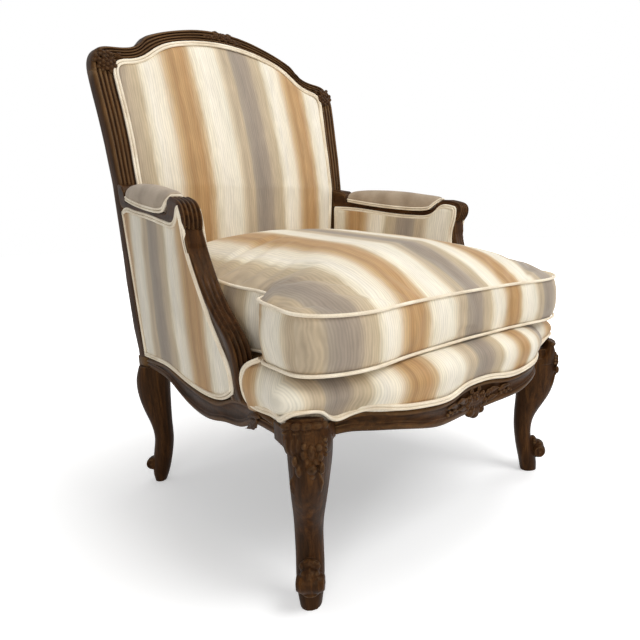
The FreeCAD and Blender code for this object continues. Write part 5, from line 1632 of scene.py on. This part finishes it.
@dataclass
class Seat:
    """The sprung deck, the loose cushion and what lies under them."""

    palette: Palette
    welts: WeltMaker
    bulge: float = 9.0
    swell_from: float = -60.0
    well_middle: float = -30.0

    def inner_face(self, y: float) -> float:
        """Inside of the arm pad at a depth."""
        d = DRAWING
        return d.arm_x(y, d.cushion_low) - d.arm_thickness - 9.0

    def deck_plan(self) -> list[tuple[float, float, float]]:
        """Half outline of the deck with its share of the bulge."""
        d = DRAWING
        face, ly, ear = d.front_rail_face, -301.0, d.arm_front - 160.0
        return [
            (0.0, face, 1.0), (40.0, face - 5, 1.0), (80.0, face - 12, 1.0), (120.0, face - 16, 1.0),
            (160.0, face - 13.5, 1.0), (200.0, face - 1, 1.1), (228.0, face + 20, 1.3),
            (254.0, face + 44, 1.8),
            (290.0, ly - 27, 2.3), (320.0, ly - 19, 2.5), (337.0, ly - 2, 2.4), (d.rail_x(-270), -270.0, 2.1),
            (d.rail_x(-225), -225.0, 1.3), (d.rail_x(ear) - 1, ear - 3, 0.8), (d.rail_x(ear) - 30, ear, 0.0),
            (self.inner_face(ear) - 3, ear + 6, 0.0), (self.inner_face(0) - 3, 0.0, 0.0),
            (self.inner_face(150) - 3, 150.0, 0.0), (self.inner_face(225) - 7, 225.0, 0.0),
            (120.0, 252.0, 0.0),
            (0.0, 252.0, 0.0),
        ]

    def ring(self, z: float, swell: float, inset: float) -> np.ndarray:
        """Outline of the deck at a height."""
        half = []
        for x, y, share in self.deck_plan():
            away = Vector((x, y - self.swell_from)).normalized()
            move = swell * share * self.bulge - inset
            half.append((x + away.x * move if x else 0.0, y + away.y * move, z))
        return spline(both_sides(half), 260, True)

    def deck(self) -> None:
        """The stuffed edge of the seat, which bulges over the rails."""
        d = DRAWING
        rows = [(d.deck_low - 2, -0.05, 3.0)]
        rows += [(d.deck_low + share * d.deck_rise, swell, inward) for share, swell, inward in (
            (0.08, 0.0, 1.0), (0.28, 0.5, 0.0), (0.45, 0.98, 0.0), (0.62, 1.0, 0.0), (0.8, 0.6, 4.0),
            (0.93, 0.0, 14.0), (1.0, 0.0, 40.0), (1.0, 0.0, 120.0))]
        rows = spline(rows, 34)
        rings = [self.ring(min(z, d.deck_low + d.deck_rise), s, i) for z, s, i in rows]
        obj = Clay().loft(rings).piece("deck_cover")
        map_cloth(obj, lambda p, n: (self.deck_phase(p), p.z / FABRIC_REPEAT))
        dress(obj, self.palette.stripe, "striped_cover", "seat_deck")

    def deck_phase(self, p: Vector) -> float:
        """Stripe phase round the deck: along the front, then back along the ear."""
        if p.y > -290.0 and abs(p.x) > 250.0:
            return table(DECK_PHASE, math.copysign(abs(p.x) + (p.y + 290.0), p.x))
        return table(DECK_PHASE, p.x)

    def cushion_edge(self) -> list[tuple[float, float]]:
        """Half outline of the cushion's border."""
        d = DRAWING
        ear, front = d.arm_front - 160.0, d.cushion_front

        def waist(y: float) -> float:
            """Side of the cushion between the arm pads."""
            return self.inner_face(y) - 5.0

        return [
            (0.0, front + 16), (60.0, front + 14), (120.0, front + 12), (180.0, front + 6), (240.0, front),
            (285.0, front + 8), (316.0, front + 26), (330.5, front + 46), (329.5, front + 92),
            (323.0, front + 134),
            (311.0, ear - 31), (waist(ear) - 1, ear - 21), (waist(ear) - 11, ear - 4), (waist(-120), -120.0),
            (waist(0), 0.0), (waist(110), 110.0), (waist(210) - 4, 208.0),
            (waist(210) - 30, d.cushion_rear - 6),
            (110.0, d.cushion_rear), (0.0, d.cushion_rear),
        ]

    def cushion_ring(self, level: float, inward: float, grow: float, slope: float) -> np.ndarray:
        """Outline of the cushion at a level, drawn in towards its core."""
        d = DRAWING
        half = []
        for x, y in self.cushion_edge():
            cx = 120.0 * min(1.0, x / (self.inner_face(0.0) - 5.0))
            cy = -200.0 + 320.0 * (y - d.cushion_front) / (d.cushion_rear - d.cushion_front)
            away = Vector((x, y - self.swell_from)).normalized()
            px = x + (cx - x) * inward + (away.x * grow if x else 0.0)
            py = y + (cy - y) * inward + away.y * grow
            half.append((px if x else 0.0, py, level + slope * (py - d.cushion_front)))
        return spline(both_sides(half), 280, True)

    def cushion(self) -> None:
        """The loose cushion with its pipings."""
        d = DRAWING
        low, band, slope = d.cushion_low, d.cushion_band, d.cushion_slope
        crown = d.cushion_crown * 0.8  # the filling raises it to its full height
        rows = [(low + 0.3, 0.9, 0.0, 0.0), (low + 0.3, 0.5, 0.0, 0.0), (low + 0.3, 0.2, 0.0, 0.0),
                (low + 0.5, 0.06, 0.0, 0.0), (low + 2.0, 0.0, -1.0, 0.0)]
        rows += list(spline(((low + 4.0, 0.0, 0.0, 0.0), (low + 0.25 * band, 0.0, 2.6, 0.2 * slope),
                             (low + 0.5 * band, 0.0, 3.4, 0.45 * slope),
                             (low + 0.78 * band, 0.0, 2.4, 0.75 * slope),
                             (low + band, 0.0, 0.0, slope)), 14))
        pipe = low + band
        rows += list(spline([(pipe + 0.5, 0.0, 0.0, slope)] + [
            (pipe + share * crown, inward, 0.0, slope)
            for share, inward in ((0.28, 0.16), (0.58, 0.38), (0.87, 0.68), (1.0, 0.97))], 22))[1:]
        rings = [self.cushion_ring(*r) for r in rows]
        obj = Clay().loft(rings).piece("cushion_cover")
        top = [tuple(p) for p in self.cushion_ring(pipe, 0.0, 1.6, slope)]
        bottom = [tuple(p) for p in self.cushion_ring(low + 4.2, 0.0, 1.6, 0.0)]
        stuff(obj, top + bottom)

        def place(p: Vector, n: Vector) -> tuple[float, float]:
            """Stripes front to back over top and bottom, turned down over the border."""
            top = pipe + slope * (p.y - d.cushion_front)
            if p.z > top - 1.0 or n.z < -0.7:
                # Behind the ears the cloth is drawn over the edge, so the outer stripe widens there.
                edge = 331.0 - 79.0 * ease((p.y + 300.0) / 160.0)
                x = math.copysign(min(abs(p.x), edge + 0.1 * max(abs(p.x) - edge, 0.0)), p.x)
                return (table(BAND_PHASE, x), p.y / FABRIC_REPEAT)
            if p.y > -320.0 and abs(p.x) > 200.0:
                run = 320.0 + (p.y + 320.0)
                phase = table(BAND_PHASE, math.copysign(min(run, 400.0), p.x))
                return (phase + math.copysign(max(run - 400.0, 0.0) / 250.0, p.x), p.z / FABRIC_REPEAT)
            return (table(BAND_PHASE, p.x), p.z / FABRIC_REPEAT)

        map_cloth(obj, place)
        dress(obj, self.palette.stripe, "striped_cover", "seat_cushion", body="cushion")
        self.welts.sew("cushion_piping", [(top, True), (bottom, True)], 2.7, body="cushion")

    def deck_welt(self) -> None:
        """The double welt between the deck and the rails."""
        d = DRAWING
        front = [(x, d.front_rail_face + b - 2.0, d.rail_top + t + 3.0)
                 for x, b, t, low in reversed(FRONT_RAIL_LINE[2:])]
        ear = [(254, -333, 289.5), (272, -332, 288), (286, -333, 293), (300, -337, 304), (314, -339, 312),
               (330, -337, 315), (343, -329, 314.5), (349, -318, 309), (350.5, -306, 302), (346, -291, 298.5),
               (340, -278, 297), (336.5, -262, 296), (333, -225, 294), (330.5, -205, 294), (329, -190, 297),
               (328, -178, 305), (327.5, -171, 320), (327, -170, 336), (326, -178, 350), (323, -192, 360),
               (315, -205, 366)]
        half = front + ear
        line = [(-x, y, z) for x, y, z in reversed(half[1:])] + half
        core = np.array([0.0, -150.0, 330.0])
        paths = []
        for step in (0.0, 1.0):
            raised = []
            for p in spline(line, 320):
                inward = np.array([0.0, 0.0, 1.0]) if abs(p[0]) < 240.0 else (
                    np.array([math.copysign(250.0, p[0]), -245.0, 340.0]) - p)
                inward[0] *= 0.25
                away = (p - core) * (1.0, 1.0, 0.0)
                raised.append(p + unit(inward) * 5.0 * step + unit(away) * 0.8 * step)
            paths.append((raised, False))
        self.welts.sew("deck_welt", paths, 2.6)

    def inside(self, frame: dict) -> None:
        """Finishes on the hidden wooden pieces that keep their own shape."""
        for node in ("back_seat_rail", "lower_back_rail", "front_block_right", "front_block_left",
                     "rear_block_right", "rear_block_left"):
            obj = frame["nodes"][node]
            obj.data.materials.clear()
            obj.data.materials.append(self.palette.across)

    def well(self, clear: float, round_blocks: bool) -> np.ndarray:
        """Outline of the space between the seat rails, as points (x, y)."""
        d = DRAWING

        def side(y: float) -> tuple[float, float]:
            """A point beside the side rail's inner face."""
            return (d.rail_x(y) - d.rail_thickness - 2.6 - clear, y)

        front = [(0.0, -341.0 + clear), (120.0, -344.0 + clear), (226.0 - clear, -337.0 + clear)]
        front += [(231.0 - clear, -264.0)] if round_blocks else [(246.0, -302.0), (268.0, -272.0),
                                                                 (290.0, -250.0)]
        sides = [side(y) for y in (-208.0 if round_blocks else -216.0, -150.0, -60.0, 30.0, 120.0, 180.0,
                                   222.0)]
        rear = [(186.0 - clear, 279.0 - clear)] if round_blocks else [(240.0, 270.0), (232.0, 279.0)]
        half = front + sides + rear + [(0.0, 279.0 - clear)]
        full = both_sides(half)
        return even(full + full[:1], 241)[:-1]

    def stuffing(self) -> None:
        """The hair pad over the webbing, hand-laid and so uneven."""
        rings, middle = [], self.well_middle
        for z, inset in ((268.2, 60.0), (268.0, 6.0), (268.6, 2.0), (271.0, 0.4), (276.0, 0.0), (281.0, 0.6),
                         (283.4, 4.0),
                         (284.2, 14.0), (284.4, 60.0), (284.4, 140.0)):
            scale = 1.0 - inset / 300.0
            rings.append([(x * scale, middle + (y - middle) * scale,
                           z - 0.7 + 0.5 * ripple(x * 2.0, y * 2.0, z))
                          for x, y in self.well(2.5, True)])
        obj = Clay().loft(rings).piece("hair_stuffing")
        dress(obj, self.palette.hair, "stuffing", "seat_stuffing")

    def webbing(self) -> None:
        """Jute straps woven over and under each other, their ends turned up on the rails."""
        d, clay = DRAWING, Clay()
        crosses = (-185.0, -85.0, 15.0, 115.0, 200.0)
        downs = (-165.0, -55.0, 55.0, 165.0)

        def strap(path: list[tuple[float, float, float]], side: tuple[float, float, float]) -> None:
            """Adds one strap 50 mm wide along a path."""
            line = [np.asarray(p, float) for p in path]
            rings = []
            for k, p in enumerate(line):
                run = line[min(k + 1, len(line) - 1)] - line[max(k - 1, 0)]
                up = np.cross(unit(run), side)
                wide = np.asarray(side, float)
                rings.append([p + wide * a * 25.0 + up * b * 0.45 for a, b in
                              ((-1, -1), (-0.5, -1), (0, -1), (0.5, -1), (1, -1), (1, 1), (0.5, 1), (0, 1),
                               (-0.5, 1),
                               (-1, 1))])
            clay.loft(rings)

        for i, x in enumerate(downs):
            path = [(x, -328.0, 278.0), (x, -328.0, 270.0), (x, -326.5, 266.4)]
            for y in np.arange(-322.0, 272.0, 5.0):
                near = sum((-1) ** (i + j) * math.exp(-((y - c) / 26.0) ** 2) for j, c in enumerate(crosses))
                path.append((x, float(y), 266.1 + 0.5 * near))
            path += [(x, 274.5, 266.4), (x, 276.0, 270.0), (x, 276.0, 278.0)]
            strap(path, (1.0, 0.0, 0.0))
        for j, y in enumerate(crosses):
            reach = d.rail_x(y + 25.0) - d.rail_thickness - 5.0
            path = [(-reach, y, 278.0), (-reach, y, 270.0), (-reach + 1.5, y, 266.4)]
            for x in np.arange(-reach + 6.0, reach - 5.0, 5.0):
                near = sum((-1) ** (i + j + 1) * math.exp(-((x - c) / 26.0) ** 2) for i,
                           c in enumerate(downs))
                path.append((float(x), y, 266.1 + 0.5 * near))
            path += [(reach - 1.5, y, 266.4), (reach, y, 270.0), (reach, y, 278.0)]
            strap(path, (0.0, 1.0, 0.0))
        obj = clay.piece("jute_webbing")
        dress(obj, self.palette.jute, "webbing", "seat_webbing")

    def dust_cloth(self) -> None:
        """The thin black cloth tacked under the seat, slack between the rails."""
        outline, middle = self.well(0.6, False), self.well_middle
        rings = []
        for layer, steps in ((0, np.linspace(0.02, 1.0, 16)), (1, np.linspace(1.0, 0.02, 16))):
            for share in steps:
                ring = []
                for x, y in outline:
                    px, py = x * share, middle + (y - middle) * share
                    sag = 1.5 * (1.0 - share ** 2) + 0.4 * ripple(px * 1.6, py * 1.6, 0.0,
                                                                  2.0) * (1.0 - share ** 6)
                    ring.append((px, py, 263.9 + 0.7 * layer - sag))
                rings.append(ring)
        obj = Clay().loft(rings).piece("dust_cloth")
        dress(obj, self.palette.black, "dust_cloth", "dust_cover")

    def build(self, frame: dict) -> None:
        """Makes the seat."""
        self.deck()
        self.cushion()
        self.deck_welt()
        self.stuffing()
        self.webbing()
        self.dust_cloth()
        self.inside(frame)


# ------------------------------------------------------------------ studio


@dataclass
class Studio:
    """Pale floor, soft light and the camera at the photograph's place."""

    spot: tuple[float, float, float] = (-0.777, -0.928, 0.568)
    yaw: float = 46.252
    pitch: float = 11.019
    roll: float = -1.300
    lens: float = 32.11
    shift: tuple[float, float] = (-0.1148, 0.0151)

    def camera(self) -> None:
        """Sets the camera."""
        a, e, r = (math.radians(v) for v in (self.yaw, self.pitch, self.roll))
        ahead = Vector((math.sin(a) * math.cos(e), math.cos(a) * math.cos(e), -math.sin(e)))
        side = Vector((math.cos(a), -math.sin(a), 0.0))
        up = side.cross(ahead)
        right = side * math.cos(r) + up * math.sin(r)
        top = side * -math.sin(r) + up * math.cos(r)
        data = bpy.data.cameras.new("camera")
        data.lens, data.sensor_width = self.lens, 36.0
        data.shift_x, data.shift_y = self.shift
        data.clip_start = 0.05
        cam = enlist("camera", data)
        turn = Matrix((right, top, -ahead)).transposed().to_4x4()
        cam.matrix_world = Matrix.Translation((self.spot[0], self.spot[1] + CENTRE_SHIFT * MM,
                                               self.spot[2])) @ turn
        bpy.context.scene.camera = cam

    def floor(self) -> None:
        """The pale floor, which takes the shadow."""
        size = 12.0
        mesh = bpy.data.meshes.new("floor")
        mesh.from_pydata([(-size, -size, 0), (size, -size, 0), (size, size, 0), (-size, size, 0)], [],
                         [(0, 1, 2, 3)])
        obj = enlist("floor", mesh)
        material, tree, shader = blank("pale_floor")
        tune(shader, {"Base Color": (0.93, 0.93, 0.93, 1.0), "Roughness": 0.9, "Specular IOR Level": 0.1,
                      "Emission Color": linear("#ffffff")})
        rays = add(tree, "ShaderNodeLightPath")
        place = add(tree, "ShaderNodeTexCoord").outputs["Object"]
        far = add(tree, "ShaderNodeVectorMath", {"operation": "LENGTH"}, {0: place}).outputs["Value"]
        # The floor stays white all round and keeps only the shadow under the chair.
        glow = add(tree, "ShaderNodeMapRange", {1: 0.35, 2: 1.5, 3: 0.30, 4: 1.0}, {0: far}).outputs[0]
        seen = add(tree, "ShaderNodeMath", {"operation": "MULTIPLY"},
                   {0: rays.outputs["Is Camera Ray"], 1: glow})
        tree.links.new(seen.outputs[0], shader.inputs["Emission Strength"])
        mesh.materials.append(material)

    def lamp(self, name: str, place: tuple[float, float, float], size: float, power: float) -> None:
        """Adds a soft square lamp aimed at the seat."""
        data = bpy.data.lights.new(name, "AREA")
        data.shape, data.size, data.energy = "SQUARE", size, power
        obj = enlist(name, data)
        aim = Vector((0.0, 0.0, 0.45)) - Vector(place)
        obj.location = place
        obj.rotation_mode = "QUATERNION"
        obj.rotation_quaternion = aim.to_track_quat("-Z", "Y")

    def light(self) -> None:
        """Soft sky light, a large key from the upper front and a weak side fill."""
        world = bpy.data.worlds.new("studio")
        bpy.context.scene.world = world
        world.use_nodes = True
        tree = world.node_tree
        sky = tree.nodes["Background"]
        rays = add(tree, "ShaderNodeLightPath")
        level = add(tree, "ShaderNodeMath", {"operation": "MULTIPLY_ADD", 1: 0.62, 2: 0.38},
                    {0: rays.outputs["Is Camera Ray"]}).outputs[0]
        tree.links.new(level, sky.inputs["Strength"])
        tune(sky, {"Color": linear("#ffffff")})
        self.lamp("key", (0.5, -2.1, 2.5), 1.4, 42.0)
        self.lamp("side", (2.4, -0.4, 1.6), 1.2, 14.0)
        self.lamp("top", (0.1, 0.2, 2.9), 1.4, 14.0)
        self.lamp("low", (-2.0, -1.8, 1.2), 1.2, 18.0)

    def build(self) -> None:
        """Sets the studio up."""
        scene = bpy.context.scene
        scene.view_settings.view_transform = "Standard"
        self.camera()
        self.floor()
        self.light()


def main() -> None:
    """Builds the chair piece by piece."""
    logging.basicConfig(level=logging.INFO, format="%(message)s")
    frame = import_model()
    Studio().build()
    palette = Palette.mix()
    welts = WeltMaker(welt_tree(palette.welt), palette.welt)
    BackFrame(palette).build()
    SeatFrame(palette).build()
    Arms(palette, welts).build()
    BackCovers(palette, welts).build()
    Seat(palette, welts).build(frame)


if __name__ == "__main__":
    main()
